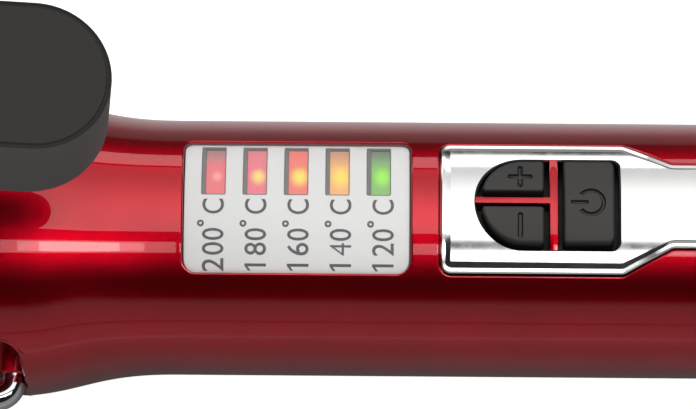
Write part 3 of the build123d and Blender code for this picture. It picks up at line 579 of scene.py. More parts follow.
# %% Clear pane
recipe = Recipe("clear_pane")
wipes = recipe.noise(400.0, 4.0, 0.6, (0.2, 1, 1))
clear_pane = recipe.surface(
    Base_Color=recipe.blend(wipes, (0.90, 0.91, 0.91), (0.95, 0.95, 0.95)),
    Roughness=(0.015 + wipes * 0.03),
    Alpha=(0.05 + wipes * 0.03),
)
print("clear pane ready")

# %% [markdown]
# ## The handle
# The handle is two moulded shells round a hollow. A stretched cylinder would lack the swell near the barrel and the
# closing curve at the tail. So its side view is drawn with S-curves and turned, the openings are carved out, and the
# ring is parted along a plane below the middle.

# %% Side view of the handle
X_FRONT, X_REAR = -160.0, -14.0
GRIP, BOLSTER = 15.0, 17.8
WALL = 2.2
PARTING = -6.0
FRONT_BORE, REAR_BORE = 13.62, 9.12
END_WALL = 2.5


def curve_points(control, steps):
    """Points on a Bezier curve through its end points."""
    points = []
    for i in range(steps + 1):
        row = [Vector(p) for p in control]
        while len(row) > 1:
            row = [a.lerp(b, i / steps) for a, b in zip(row, row[1:])]
        points.append((row[0].x, row[0].y))
    return points


def handle_side(inset=0.0):
    """(x, radius) stations of the handle's form, from the front rim to the rear face, in mm."""
    rim, swell, grip, tail = (r - inset for r in (16.4, BOLSTER, GRIP, 13.6))
    side = curve_points([(X_FRONT, rim), (-158.67, swell), (-156, swell)], 8)
    side += curve_points([(-140, swell), (-129, swell), (-129, grip), (-118, grip)], 22)
    side += curve_points([(-44, grip), (-29, grip), (X_REAR, tail)], 14)
    return side


SIDE = handle_side()


def side_at(x):
    """Radius and slope of the side view at x in mm, zero past its ends."""
    for (x0, r0), (x1, r1) in zip(SIDE, SIDE[1:]):
        if x0 <= x <= x1:
            slope = (r1 - r0) / (x1 - x0)
            return r0 + slope * (x - x0), slope
    return 0.0, 0.0


def on_form(point):
    """Whether a point in metres lies on the handle's outer form."""
    return abs(point.yz.length / MM - side_at(point.x / MM)[0]) < 0.06


def side_normal(point):
    """The handle's outward normal at a point in metres."""
    slope = sum(side_at(point.x / MM + nearby)[1] for nearby in (-0.45, 0, 0.45)) / 3
    across = radial(point)
    return Vector((-slope, across.y, across.z)).normalized()


rear_edge = [(X_REAR - 0.35, 13.62), (X_REAR - 0.08, 13.45), (X_REAR, 13.15), (X_REAR, REAR_BORE)]
front_edge = [(X_FRONT, FRONT_BORE), (X_FRONT, 15.7)]
inner = [(x, r) for x, r in handle_side(WALL) if X_FRONT + END_WALL < x < X_REAR - END_WALL]
section = [front_edge[1], (X_FRONT + 0.25, 16.1)] + SIDE[1:-1] + rear_edge
section += [(X_REAR - END_WALL, REAR_BORE), (X_REAR - END_WALL, inner[-1][1])] + inner[::-1]
section += [(X_FRONT + END_WALL, inner[0][1]), (X_FRONT + END_WALL, FRONT_BORE)] + front_edge
shell = turned("handle_shell", section, 144)
print("turned handle:", len(shell.data.polygons), "faces")

# %% [markdown]
# The openings are carved with tools that flare at the surface, so that every rim is softly rounded and catches a
# line of light. A bevel after the cut would have to fight the narrow faces that a cut leaves on a round form.


# %% Blocks and cylinders
def box_corners(x0, x1, y0, y1, *radii):
    """Corners of a rectangle, with one radius, four or none."""
    radii = radii if len(radii) == 4 else (radii or (0.0,)) * 4
    places = (x0, y0), (x1, y0), (x1, y1), (x0, y1)
    return [(x, y, radius) for (x, y), radius in zip(places, radii)]


def slab(name, x0, x1, y0, y1, z0, z1):
    """A block between two corners in mm."""
    return flat_piece(name, box_corners(x0, x1, y0, y1), z0, (0, z1 - z0))


def block_at(name, x, y, wide, long, base, *moves, corner=0.2, steps=4):
    """A rounded block standing at a place in mm."""
    corners = box_corners(x - wide / 2, x + wide / 2, y - long / 2, y + long / 2, corner)
    return flat_piece(name, corners, base, *moves, steps=steps)


def cylinder(radius, depth, place, turn=(0, 0, 0), sides=48):
    """A cylinder in mm at a place."""
    let_go()
    bpy.ops.mesh.primitive_cylinder_add(vertices=sides, radius=radius * MM, depth=depth * MM)
    return aim(bpy.context.object, place, turn)


print("blocks ready")

# %% Window, trim seat and key opening
X_WINDOW, WINDOW_LONG = -103.9, 26.3
WINDOW_LOW, WINDOW_HIGH = -7.98, 8.32
X_TRIM, TRIM_HALF, TAIL_HALF = -87.25, 7.95, 5.15
X_SHOULDER, X_TAIL, X_TRIM_END = X_TRIM + 21.1, X_TRIM + 26.7, X_TRIM + 42.7
X_KEYHOLE, KEYHOLE_LONG, KEYHOLE_HALF = -83.35, 16.75, 5.6
X_KEYHOLE_END = X_KEYHOLE + KEYHOLE_LONG
window_ends = X_WINDOW - WINDOW_LONG / 2, X_WINDOW + WINDOW_LONG / 2
window = box_corners(*window_ends, WINDOW_LOW, WINDOW_HIGH, 1.5, 1.5, 1.1, 1.1)
trim_plan = [
    (X_TRIM, -TRIM_HALF, 1.15),
    (X_SHOULDER, -TRIM_HALF, 1.2),
    (X_TAIL, -TAIL_HALF, 1.2),
    (X_TRIM_END, -TAIL_HALF, 5.05),
]
trim_plan += flipped(trim_plan)
key_opening = [(X_KEYHOLE, -KEYHOLE_HALF, 5.55), (X_KEYHOLE_END, -KEYHOLE_HALF, 1.0)]
key_opening += flipped(key_opening)


def key_opening_piece(name, grow, base, *moves):
    """A flat piece with the outline of the key opening, grown or shrunk."""
    return flat_piece(name, grown(key_opening, grow), base, *moves, steps=16)


def rim_tool(plan, lip, floor):
    """A cutter whose mouth flares by a rounded lip at the surface and runs down to a floor."""
    rounded = [(inwards * lip, -downwards * lip) for inwards, downwards in ((0.5, 0.13), (0.37, 0.37), (0.13, 0.5))]
    piece = flat_piece("rim_tool", grown(plan, lip), 1.2, (0, -1.2), *rounded, (0, floor + lip))
    return lay_round(piece, GRIP)


print("plans ready")

# %% Carve the openings
carve(shell, rim_tool(window, 0.28, -4.0))
carve(shell, rim_tool(grown(trim_plan, 0.14), 0.28, -1.2))
carve(shell, rim_tool(grown(key_opening, 0.1), 0.05, -4.0))
print("openings carved,", len(shell.data.polygons), "faces")

# %% [markdown]
# The wire stand folds into a pocket on each side, open to the front, with a small bore for the wire's pin. Its rim
# is beveled after the cut, because the swell isn't a plain cylinder there.

# %% Side pockets and pin bores
X_STAND = -137.0
POCKET_FLOOR, POCKET_DEPTH, POCKET_WALL = 14.2, 4.2, 1.2
POCKET_REACH = 3.6
X_LINING_END = -118.5
PIN_BORE = 1.75
X_RIM_END, Y_RIM, RIM_ROUND = -133.5, 13.0, 0.32
pocket_slope = tan(radians(19.0)) * POCKET_DEPTH
pocket_plan = grown(box_corners(-182.0, X_STAND + 0.4, -8.6, 8.6, 2.4), pocket_slope)
lining_side = [(X_FRONT + 0.6, 0.0), (X_FRONT + 0.6, 15.2)]
lining_side += [(x, r) for x, r in handle_side(0.7) if X_FRONT + 1.0 < x < X_LINING_END] + [(X_LINING_END, 0.0)]
for side in (-1, 1):
    floor_spot, outwards = (0, side * POCKET_FLOOR, 0), (-side * 90, 0, 0)
    # the wall behind the pocket, kept inside the outer form
    lining_moves = (0, -POCKET_REACH - POCKET_WALL)
    lining = flat_piece("lining", grown(pocket_plan, POCKET_WALL), POCKET_REACH, lining_moves, steps=10)
    carve(aim(lining, floor_spot, outwards), turned("form", lining_side, 144), "INTERSECT")
    carve(shell, lining, "UNION")
    tool = flat_piece("pocket_tool", pocket_plan, POCKET_DEPTH, (pocket_slope, -POCKET_DEPTH), steps=10)
    carve(shell, aim(tool, floor_spot, outwards))
    carve(shell, cylinder(PIN_BORE, 8, (X_STAND, side * POCKET_FLOOR, 0), (90, 0, 0)))


def pocket_rim(edge):
    """Whether an edge lies where a pocket's wall meets the outer form."""
    if len(edge.link_faces) != 2 or not all(on_form(v.co) for v in edge.verts):
        return False
    middle = (edge.verts[0].co + edge.verts[1].co) / 2
    if not X_FRONT + 0.4 <= middle.x / MM <= X_RIM_END or abs(middle.y) / MM < Y_RIM:
        return False
    return edge.calc_face_angle(0) > radians(20)


enter(shell)
rim_edges = pick(shell, "EDGE", pocket_rim)
bpy.ops.mesh.bevel(offset=RIM_ROUND * MM, segments=3, profile=0.5, clamp_overlap=False)
let_go()
print("beveled", rim_edges, "rim edges")

# %% Part the handle into its two shells
SCREW_HEAD_WELL, SCREW_WELL_DEPTH, SCREW_SEAT = 2.5, 14, 2.5
PARTING_ROUND = 0.13
screw_spots = [(x, side * y) for x, y in ((-145.0, 11.0), (-56.0, 8.4)) for side in (-1, 1)]
lower = twin(shell, "lower_grip")
upper = shell
upper.name = "upper_grip"
carve(upper, slab("below", -170, 0, -30, 30, -30, PARTING))
carve(lower, slab("above", -170, 0, -30, 30, PARTING, 30))
for x, y in screw_spots:
    well_middle = PARTING - SCREW_SEAT - SCREW_WELL_DEPTH / 2
    carve(lower, cylinder(SCREW_HEAD_WELL, SCREW_WELL_DEPTH, (x, y, well_middle)))


def parting_edge(edge):
    """Whether an edge lies on the parting plane, at the outer form."""
    level = all(abs(v.co.z / MM - PARTING) < ON_POINT and on_form(v.co) for v in edge.verts)
    return level and edge.calc_face_angle(0) > radians(30)


for half in (upper, lower):
    enter(half)
    softened = pick(half, "EDGE", parting_edge)
    bpy.ops.mesh.bevel(offset=PARTING_ROUND * MM, segments=2, clamp_overlap=False)
    let_go()
    print(half.name, "has", softened, "softened edges at the parting")

# %% [markdown]
# A T-shaped divider stands between the three keys. It is moulded with the upper shell, so it is lacquered too.

# %% Divider
X_DIVIDER, DIVIDER_HALF, DIVIDER_REACH = -74.25, 0.52, 6.5
BAR_LOW, BAR_HIGH = -0.23, 0.61
divider_plan = [
    (X_KEYHOLE - 1.0, BAR_LOW, 0),
    (X_DIVIDER - DIVIDER_HALF, BAR_LOW, 0),
    (X_DIVIDER - DIVIDER_HALF, -DIVIDER_REACH, 0),
    (X_DIVIDER + DIVIDER_HALF, -DIVIDER_REACH, 0),
    (X_DIVIDER + DIVIDER_HALF, DIVIDER_REACH, 0),
    (X_DIVIDER - DIVIDER_HALF, DIVIDER_REACH, 0),
    (X_DIVIDER - DIVIDER_HALF, BAR_HIGH, 0),
    (X_KEYHOLE - 1.0, BAR_HIGH, 0),
]
divider = flat_piece("divider", divider_plan, -2.6, (0, 2.80), (0.05, 0.10), (0.10, 0.05))
carve(divider, key_opening_piece("keep", -0.02, -4.0, (0, 6.0)), "INTERSECT")
lay_round(divider, GRIP)
smooth(divider)
upper = join("upper_grip", upper, divider)

for half, node in ((upper, "upper_shell"), (lower, "lower_shell")):
    coat_with(half, candy_red)
    settle(half)
    true_normals(half, side_normal, lambda c, n: on_form(c) and n.dot(side_normal(c)) > 0.998)
    finish_piece(half, None, "handle", "candy_red", node)

# %% [markdown]
# ## The bright trim
# The plated trim is let into the lacquer and runs out in a round-ended tail. Its edge is a narrow flange with a ramp
# up to the face. These steps of tenths of a millimetre carry the dark and white lines that make it read as metal.

# %% Trim
EDGE_STEPS = ((0, 1.05), (0.05, 0.09), (0.08, 0.04), (0.36, -0.05), (0.04, 0.01), (0.48, 0.14), (0.08, 0.03))
MOUTH_STEPS = ((0, -1.05), (0.12, -0.05), (0.13, -0.2), (0, -2.5))
TAIL_FULLER = 0.08  # how much wider the tail's face grows, as a share
TAIL_START, TAIL_RUN, FACE_ABOVE = 20.0, 6.0, 0.24
TRIM_LEAN = radians(2.9)
trim = flat_piece("bright_trim", trim_plan, -0.95, *EDGE_STEPS)
for vertex in trim.data.vertices:
    if vertex.co.z > FACE_ABOVE * MM:
        along = min(1.0, max(0.0, (vertex.co.x / MM - X_TRIM - TAIL_START) / TAIL_RUN))
        vertex.co.y *= 1 + TAIL_FULLER * along
carve(trim, key_opening_piece("mouth", 0.25, 1.5, *MOUTH_STEPS))
lay_round(trim, GRIP)


def trim_normal(point):
    """The trim's face turns up a little more than the grip along its lower half."""
    lean = atan2(point.y, point.z)
    lean += TRIM_LEAN * min(1.0, max(0.0, 0.5 - degrees(lean) / 20))
    return Vector((0, sin(lean), cos(lean)))


true_normals(trim, trim_normal, faces_out, 14.0)
finish_piece(trim, trim_chrome, "handle", "trim_chrome", "chrome_trim")

# %% [markdown]
# ## The keys
# Three caps share one opening: a quarter for plus, a quarter for minus, and a rounded square for power. Each is
# drawn by itself. Cutting all three from one slab would leave needle-sharp tips, which moulded keys never have.

# %% Key caps
ROUND_END, ROUND_STEPS = 4.95, 11
X_ROUND = X_KEYHOLE + KEYHOLE_HALF
X_QUARTER, X_POWER_LEFT = X_DIVIDER - 1.12, X_DIVIDER + 1.08
X_POWER_RIGHT = X_KEYHOLE_END - 0.66
POWER_LOW, POWER_HIGH = -4.98, 5.25
CAP_STEPS = ((0, 2.08), (0.04, 0.13), (0.09, 0.11), (0.12, 0.06), (0.08, 0.02))


def quarter(y_bar, y_middle):
    """Plan of a quarter key, from its straight side along the bar to its round end."""
    corners = [(X_QUARTER, y_bar, 0.45), (X_QUARTER, y_middle + ROUND_END, 0.45)]
    tip_angle = asin((y_bar - y_middle) / ROUND_END)
    for i in range(ROUND_STEPS + 1):
        turn = pi / 2 + (pi / 2 - tip_angle) * i / ROUND_STEPS
        y = y_middle + ROUND_END * sin(turn)
        corners.append((X_ROUND + ROUND_END * cos(turn), y, 0.42 if i == ROUND_STEPS else 0.0))
    return corners


power_plan = box_corners(X_POWER_LEFT, X_POWER_RIGHT, POWER_LOW, POWER_HIGH, 0.5, 0.85, 0.85, 0.5)
cap_plans = (("plus_cap", quarter(1.10, 0.27)), ("minus_cap", flipped(quarter(0.70, 0.07))), ("power_cap", power_plan))
plus_cap, minus_cap, power_cap = [flat_piece(name, plan, -1.5, *CAP_STEPS, steps=6) for name, plan in cap_plans]
print("caps drawn")

# %% Sunk marks
STROKE, MARK_TOP, MARK_FLOOR, MARK_LONG = 0.64, 0.88, 0.62, 2.95
X_MARK, Y_PLUS, Y_MINUS = X_DIVIDER - 3.9, 3.0, -2.98
X_POWER, Y_POWER, POWER_RADIUS, POWER_STROKE = -70.0, -0.22, 1.46, 0.50
MARK_SLOPE, POWER_TURN, POWER_STEPS = 0.16, 284, 44


def bar(x, y, long_x, long_y):
    """A round-ended bar tool for a mark, narrower at its floor."""
    moves = (0, MARK_TOP - 1.6), (0.17, MARK_FLOOR - MARK_TOP)
    return block_at("mark_tool", x, y, long_x, long_y, 1.6, *moves, corner=min(long_x, long_y) * 0.48, steps=5)


carve(plus_cap, bar(X_MARK, Y_PLUS, MARK_LONG, STROKE))
carve(plus_cap, bar(X_MARK, Y_PLUS, STROKE, MARK_LONG))
carve(minus_cap, bar(X_MARK, Y_MINUS, STROKE, MARK_LONG))
carve(power_cap, bar(X_POWER - 1.31, Y_POWER, 2.1, POWER_STROKE))
inside, outside = POWER_RADIUS - POWER_STROKE / 2, POWER_RADIUS + POWER_STROKE / 2
section = [(inside + MARK_SLOPE, MARK_FLOOR), (outside - MARK_SLOPE, MARK_FLOOR), (outside, MARK_TOP)]
section += [(outside, 4.0), (inside, 4.0), (inside, MARK_TOP)]
arc = draw("arc_tool", [(x * MM, 0, z * MM) for x, z in section], closed=True)
bpy.ops.mesh.spin(steps=POWER_STEPS, angle=radians(POWER_TURN), center=(0, 0, 0), axis=(0, 0, 1))
close_up()
middle = sum((v.co.xy for v in arc.data.vertices), Vector((0, 0)))
arc.rotation_euler = (0, 0, -atan2(middle.y, middle.x))
arc.location = (X_POWER * MM, Y_POWER * MM, 0)
settle(arc)
carve(power_cap, arc)
print("marks sunk")

# %% Lay the keys on the grip
SIDE_WALL = 0.85  # faces that lean further than this from the grip's normal are walls


def lay_true(piece, radius):
    """Lays a flat piece on a cylinder and gives its face that cylinder's normals."""
    lay_round(piece, radius)
    true_normals(piece, radial, faces_out, 32.0)


for cap, body, node in (
    (plus_cap, "plus_button", "plus_key"),
    (minus_cap, "minus_button", "minus_key"),
    (power_cap, "power_button", "power_key"),
):
    lay_true(cap, GRIP)
    # the side walls of each cap take the black finish: painted shade in the gaps round the keys
    coat_with(cap, key_grey, part_black)
    for face in cap.data.polygons:
        face.material_index = 1 if face.normal.dot(radial(face.center)) < SIDE_WALL else 0
    finish_piece(cap, None, body, "key_grey", node)

# %% Dark frame behind the keys
key_frame = key_opening_piece("key_frame", 0.04, -2.4, (0, 2.35))
carve(key_frame, key_opening_piece("inside", -0.08, -3.0, (0, 4.0)))
shelf = key_opening_piece("shelf", 0.04, -2.6, (0, 0.5))
key_frame = join("key_frame", lay_round(key_frame, GRIP), lay_round(shelf, GRIP))
finish_piece(key_frame, part_black, "handle", "part_black", angle=35.0)

# %% [markdown]
# ## The display
# Behind a clear lens lies a white scale plate with five windows, and in each a dark well holds a light. The windows
# flare at the face, and the wells stand a little to one side, so that their walls show as dark frames.

# %% Scale plate, wells and lights
LED_COUNT, LED_PITCH, Y_LED = 5, 4.78, 4.45
PLATE_FACE = -0.62  # below the grip's surface
WELL_SHIFT, LAMP_SHIFT = -0.12, 0.10
led_places = [X_WINDOW + (i - LED_COUNT // 2) * LED_PITCH for i in range(LED_COUNT)]


def set_out(name, pattern, *stations):
    """One piece made of copies of a pattern, one at each (place, turn)."""
    copies = [aim(twin(pattern, name + "_copy"), *station) for station in stations]
    discard(pattern)
    return join(name, *copies)


plate = flat_piece("scale_plate", grown(window, -0.14), PLATE_FACE - 0.9, (0, 0.86), (0.05, 0.04))
well = block_at("lamp_well", 0, 0, 2.70, 6.80, -3.0, (0, 2.08), (0.05, 0.04))
carve(well, block_at("bore", 0.22, 0.0, 2.30, 6.50, 0.0, (0, -0.88), (0.11, -0.42), (0, -3.0)))
window_moves = (0, PLATE_FACE), (0.06, -0.06), (0, -2.0)
for x in led_places:
    carve(plate, block_at("window_tool", x + WELL_SHIFT, Y_LED, 2.92, 7.02, 0, *window_moves, corner=0.25))
wells = set_out("lamp_wells", well, *(((x + WELL_SHIFT, Y_LED, 0),) for x in led_places))
lay_true(plate, GRIP)
lay_round(wells, GRIP)
finish_piece(plate, scale_white, "handle", "plate_white", "display_plate")
finish_piece(wells, well_grey, "handle", "part_black", angle=35.0)

# %% [markdown]
# Each light is a small diffuser block, with a glow that is hot where the die sits and fades towards the ends. A
# plain emitting block would look like a sticker.

# %% Lights
SPOT_SHIFT, Y_SPOT = 0.28, 3.66


def from_screen(red, green, blue):
    """Linear colour from screen values of 0 to 255."""
    return tuple((c / 255 / 12.92 if c < 11 else ((c / 255 + 0.055) / 1.055) ** 2.4) for c in (red, green, blue))


def glow(name, x, spread, end, body, spot):
    """A lit diffuser: end colour at the far end, body colour, and a hot spot."""
    recipe = Recipe(name)
    along_x = (recipe.axis("X") - (x + SPOT_SHIFT) * MM) * (1 / (spread * MM))
    along_y = (recipe.axis("Y") - Y_SPOT * MM) * (1 / (1.25 * spread * MM))
    distance = (along_x * along_x + along_y * along_y) ** 0.5
    heat = 1 - distance.rise(0.15, 1.35)
    tone = recipe.blend((recipe.axis("Y") - 4.6 * MM).rise(0.0, 2.8 * MM), body, end)
    speckle = recipe.noise(1800.0, 2.0)
    return recipe.surface(
        Base_Color=recipe.blend(speckle, tuple(0.05 * c for c in body), tuple(0.09 * c for c in body)),
        Emission_Color=recipe.blend(speckle * 0.12, recipe.blend(heat, tone, spot), tone),
        Emission_Strength=0.92,
        Roughness=(0.35 + speckle * 0.2),
    )


# value, finish, spread of the spot in mm, and the screen colours of the end, the body and the spot
lights = (
    ("200", "led_red", 0.62, (160, 112, 112), (236, 98, 106), (252, 158, 150)),
    ("180", "led_rose", 0.90, (222, 112, 122), (236, 104, 122), (255, 226, 100)),
    ("160", "led_amber", 1.10, (240, 106, 92), (242, 108, 90), (252, 236, 72)),
    ("140", "led_orange", 1.25, (196, 140, 102), (246, 172, 96), (255, 226, 70)),
    ("120", "led_green", 1.10, (98, 116, 92), (118, 184, 82), (154, 248, 36)),
)
for (value, finish, spread, *tones), x in zip(lights, led_places):
    lamp = block_at("lamp_" + value, x + LAMP_SHIFT, Y_LED, 2.24, 6.44, -3.6, (0, 2.38), (0.10, 0.06))
    lay_round(lamp, GRIP)
    lit = glow("glow_" + value, x, spread, *(from_screen(*tone) for tone in tones))
    finish_piece(lamp, lit, "handle", finish, "led_" + value, angle=35.0)

# %% [markdown]
# The scale reads along the grip. Each numeral is a text object made a mesh, brought to one height, and copied
# wherever it is needed again. The numeral one is drawn as a plan, because the face's own has a foot.

# %% Numerals
CAP_HEIGHT, DIGIT_WIDE, LETTER_WIDE, RING_WIDE = 2.5, 1.34, 1.84, 0.80
INK = 0.02
TEXT_PITCH, TEXT_SHIFT = 4.905, 0.15
DIGIT_ROWS = (-7.02, -5.33, -3.74)
ONE_PLAN = ((-0.15, -1.25), (0.15, -1.25), (0.15, 1.25), (-0.07, 1.25), (-0.56, 0.84), (-0.56, 0.53), (-0.15, 0.86))
BOLDER = {"°": 0.022, "4": -0.008}


def numeral(sign, wide, tall):
    """A printed sign of a given size, centred at the origin and turned to read along Y."""
    if sign == "1":
        piece = flat_piece("one", [(x, y, 0) for x, y in ONE_PLAN], 0.0, (0, INK))
    else:
        let_go()
        bpy.ops.object.text_add()
        piece = bpy.context.object
        piece.data.body = sign
        piece.data.resolution_u = 7
        piece.data.offset = BOLDER.get(sign, 0.004)
        piece.data.extrude = 0.5
        bpy.ops.object.convert(target="MESH")
        enter(piece)
        bpy.ops.mesh.remove_doubles(threshold=1e-5)
        let_go()
        low = [min(v.co[i] for v in piece.data.vertices) for i in range(3)]
        high = [max(v.co[i] for v in piece.data.vertices) for i in range(3)]
        enter(piece)
        bpy.ops.transform.translate(value=[-(a + b) / 2 for a, b in zip(low[:2], high[:2])] + [-low[2]])
        sizes = [size * MM / (b - a) for size, a, b in zip((wide, tall, INK), low, high)]
        bpy.ops.transform.resize(value=sizes, center_override=(0, 0, 0))
        let_go()
    return aim(piece, (0, 0, 0), (0, 0, 90))


signs = {sign: numeral(sign, DIGIT_WIDE, CAP_HEIGHT) for sign in "012468"}
signs["C"] = numeral("C", LETTER_WIDE, CAP_HEIGHT)
signs["ring"] = numeral("°", RING_WIDE, RING_WIDE)
printed = []
for i, (value, *_) in enumerate(lights):
    x = X_WINDOW + TEXT_SHIFT + (i - LED_COUNT // 2) * TEXT_PITCH
    row = [(sign, 0.0, y) for sign, y in zip(value, DIGIT_ROWS)] + [("ring", -1.44, -2.51), ("C", 0.0, -0.46)]
    for sign, shift, y in row:
        printed.append(aim(twin(signs[sign], "sign"), (x + shift, y, PLATE_FACE - 0.004)))
for sign in signs.values():
    discard(sign)
scale_print = lay_round(join("scale_print", *printed), GRIP)
finish_piece(scale_print, print_grey, "handle", "part_black")

# %% [markdown]
# The lens is a thin curved pane. Its clearness is an alpha of a few parts in a hundred, so that light reaches the
# plate and only the rim and the sheen tell that a pane is there.

# %% Lens
lens = flat_piece("clear_lens", grown(window, -0.12), -0.56, (0, 0.34), (0.04, 0.08), (0.10, 0.06))
lay_true(lens, GRIP)
finish_piece(lens, clear_pane, "handle", "lens_clear", "display_lens")

# %% [markdown]
# ## Rods, upright plates and soft edges
# Three more hands are needed for the metalwork: a rod that follows straight runs with rounded corners, a plate drawn
# in side view, and a bevel that breaks the edges, as pressing always leaves them a little round.


# %% Rod, upright plate and soft edge
def rod(name, points, rounds, radius, fineness):
    """A round rod along straight runs in mm, its corners rounded by the radii given."""
    piece = draw(name, [tuple(c * MM for c in point) for point in points])
    for i, turn_radius in enumerate(rounds, 1):
        round_corner(piece, points[i - 1], points[i], points[i + 1], turn_radius, 10)
    hold(piece)
    bpy.ops.object.convert(target="CURVE")
    piece.data.bevel_depth = radius * MM
    piece.data.bevel_resolution = fineness
    piece.data.use_fill_caps = True
    bpy.ops.object.convert(target="MESH")
    enter(piece)
    close_up(1e-6)
    return piece


def upright(name, corners, y_low, y_high, steps=8):
    """A side view of (x, z, radius) corners in mm, pulled across the tool from one y to another."""
    piece = flat_piece(name, corners, -y_high, (0, y_high - y_low), steps=steps)
    return aim(piece, (0, 0, 0), (90, 0, 0))


def soften(piece, width, angle):
    """Breaks every edge sharper than an angle."""
    settings = {"width": width * MM, "segments": 2, "limit_method": "ANGLE", "angle_limit": radians(angle)}
    apply_modifier(piece, "BEVEL", **settings)
    smooth(piece, 40.0)


print("metalwork helpers ready")

# %% [markdown]
# ## The thumb pad
# The pad is a moulded cap on the end of the lever, with walls that splay a little so that it leaves its mould. Its
# top edge is rolled over in six small steps. It is hollow below, and is notched where the lever comes in.

# %% Thumb pad
PAD_LONG, PAD_HALF, PAD_HIGH = 36.0, 8.7, 11.0
PAD_TIP = (-123.8, 0, 49.8)
PAD_TILT = 7.5
PAD_EDGE = ((0.05, 0.20), (0.08, 0.10), (0.05, 0.0), (0.18, -0.2), (0.12, 0.0), (0.18, 0.2))
PAD_FOOT = 0.3
pad_plan = [(-PAD_LONG, -PAD_HALF, 3.0), (0, -PAD_HALF, 8.6)]
pad_plan += flipped(pad_plan)
splay = PAD_HIGH * tan(radians(3.0))
pad_wall = (splay, PAD_HIGH - 2 * PAD_FOOT)
pad = flat_piece("thumb_cap", grown(pad_plan, splay), -PAD_HIGH, (0, PAD_FOOT), pad_wall, *PAD_EDGE, steps=20)
carve(pad, flat_piece("hollow", grown(pad_plan, -1.5), -12.0, (0, 0.9), (0.2, 3.0), steps=12))
carve(pad, slab("notch", -38.0, -32.4, -8.0, 8.0, -13.0, -5.5))
aim(pad, PAD_TIP, (0, PAD_TILT, 0))
smooth(pad, 32.0)
# the side walls get the lighter copy of the black, as painted light on the walls; the top stays darker
coat_with(pad, pad_black, pad_side_painted_light)
for face in pad.data.polygons:
    face.material_index = 1 if face.normal.z < 0.5 else 0
finish_piece(pad, None, "clamp", "black_plastic", "thumb_pad")

# %% [markdown]
# ## The wire stand
# One length of plated wire is bent into a U, its ends turned in to pin it in the handle. A heat-proof sleeve sits on
# the cross bar, ribbed so that it doesn't slide on a table.

# %% Wire stand and its sleeve
WIRE = 1.6
X_BAR, Z_BAR, Y_ARM = -181.0, -16.7, 19.0
SLEEVE_HALF, RIB_COUNT, RIB_PITCH = 13.5, 9, 3.1
wire_run = [(X_STAND, -11.3, 0), (X_STAND, -Y_ARM, 0), (-150.0, -Y_ARM, 0), (X_BAR, -Y_ARM, Z_BAR)]
wire_run += flipped(wire_run)
wire = rod("wire_stand", wire_run, (2.0, 5.0, 5.0, 5.0, 5.0, 2.0), WIRE, 9)
finish_piece(wire, wire_chrome, "stand", "wire_chrome", "stand_wire", angle=50.0)

sleeve_end = [(-SLEEVE_HALF, WIRE + 0.02), (-SLEEVE_HALF, 2.25), (-13.3, 2.5)]
ribs = []
for i in range(RIB_COUNT):
    x = -12.4 + i * RIB_PITCH
    ribs += [(x - 0.9, 2.6), (x + 0.55, 2.6), (x + 0.75, 2.4), (x + 1.25, 2.4)]
sleeve_side = sleeve_end + [point for point in ribs if point[0] < 13.0] + [(-x, r) for x, r in sleeve_end[::-1]]
sleeve = turned("stand_sleeve", sleeve_side, 48, closed=True)
aim(sleeve, (X_BAR, 0, Z_BAR), (0, 0, 90))
finish_piece(sleeve, foot_rubber, "stand", "foot_rubber", "stand_foot", angle=30.0)

# %% Pin bosses
boss_side = [(-1.3, 1.66), (-1.3, 2.5), (0.5, 2.35), (2.2, 2.2), (2.4, 2.0), (2.4, 1.66)]
boss_spots = [((X_STAND, side * POCKET_FLOOR, 0), (0, 0, side * 90)) for side in (-1, 1)]
bosses = set_out("pin_bosses", turned("boss", boss_side, 48, closed=True), *boss_spots)
finish_piece(bosses, candy_red, "handle", "candy_red", angle=30.0)

# %% [markdown]
# ## Barrel, collar and cool tip
# A moulded collar joins the plated barrel to the handle, and a ribbed tip at its end stays cool enough to hold. All
# three are turned from their side views, walls and all, so that they are real tubes and caps, not skins.

# %% Barrel
X_COLLAR, X_BARREL_START, X_BARREL_END, X_TIP = -172.0, -150.0, -316.0, -334.0
BARREL, BARREL_BORE = 12.5, 11.5
barrel_side = [(X_BARREL_START, BARREL_BORE), (X_BARREL_START, 12.2), (X_BARREL_START - 0.3, BARREL)]
barrel_side += [(X_BARREL_END + 0.3, BARREL), (X_BARREL_END, 12.2), (X_BARREL_END, BARREL_BORE)]
barrel = turned("heated_barrel", barrel_side, 144, closed=True)
finish_piece(barrel, barrel_chrome, "handle", "barrel_chrome", "barrel_tube", angle=35.0)

# %% Collar
COLLAR_BORE = BARREL + 0.02
collar_side = [(X_COLLAR, COLLAR_BORE), (X_COLLAR, 13.45), (X_COLLAR + 0.25, 13.75), (X_COLLAR + 1.0, 14.28)]
collar_side += [(X_COLLAR + 1.6, 14.4), (-166.2, 15.02), (-165.9, 14.75), (-165.2, 14.75), (-164.9, 15.18)]
collar_side += [(-160.6, 15.72), (-160.25, 15.66), (-160.03, 15.4), (-160.03, 13.45), (-157.5, 13.45)]
collar_side += [(-157.5, COLLAR_BORE)]
collar = turned("moulded_collar", collar_side, 144, closed=True)
finish_piece(collar, black_plastic, "handle", "black_plastic", "barrel_collar", angle=30.0)

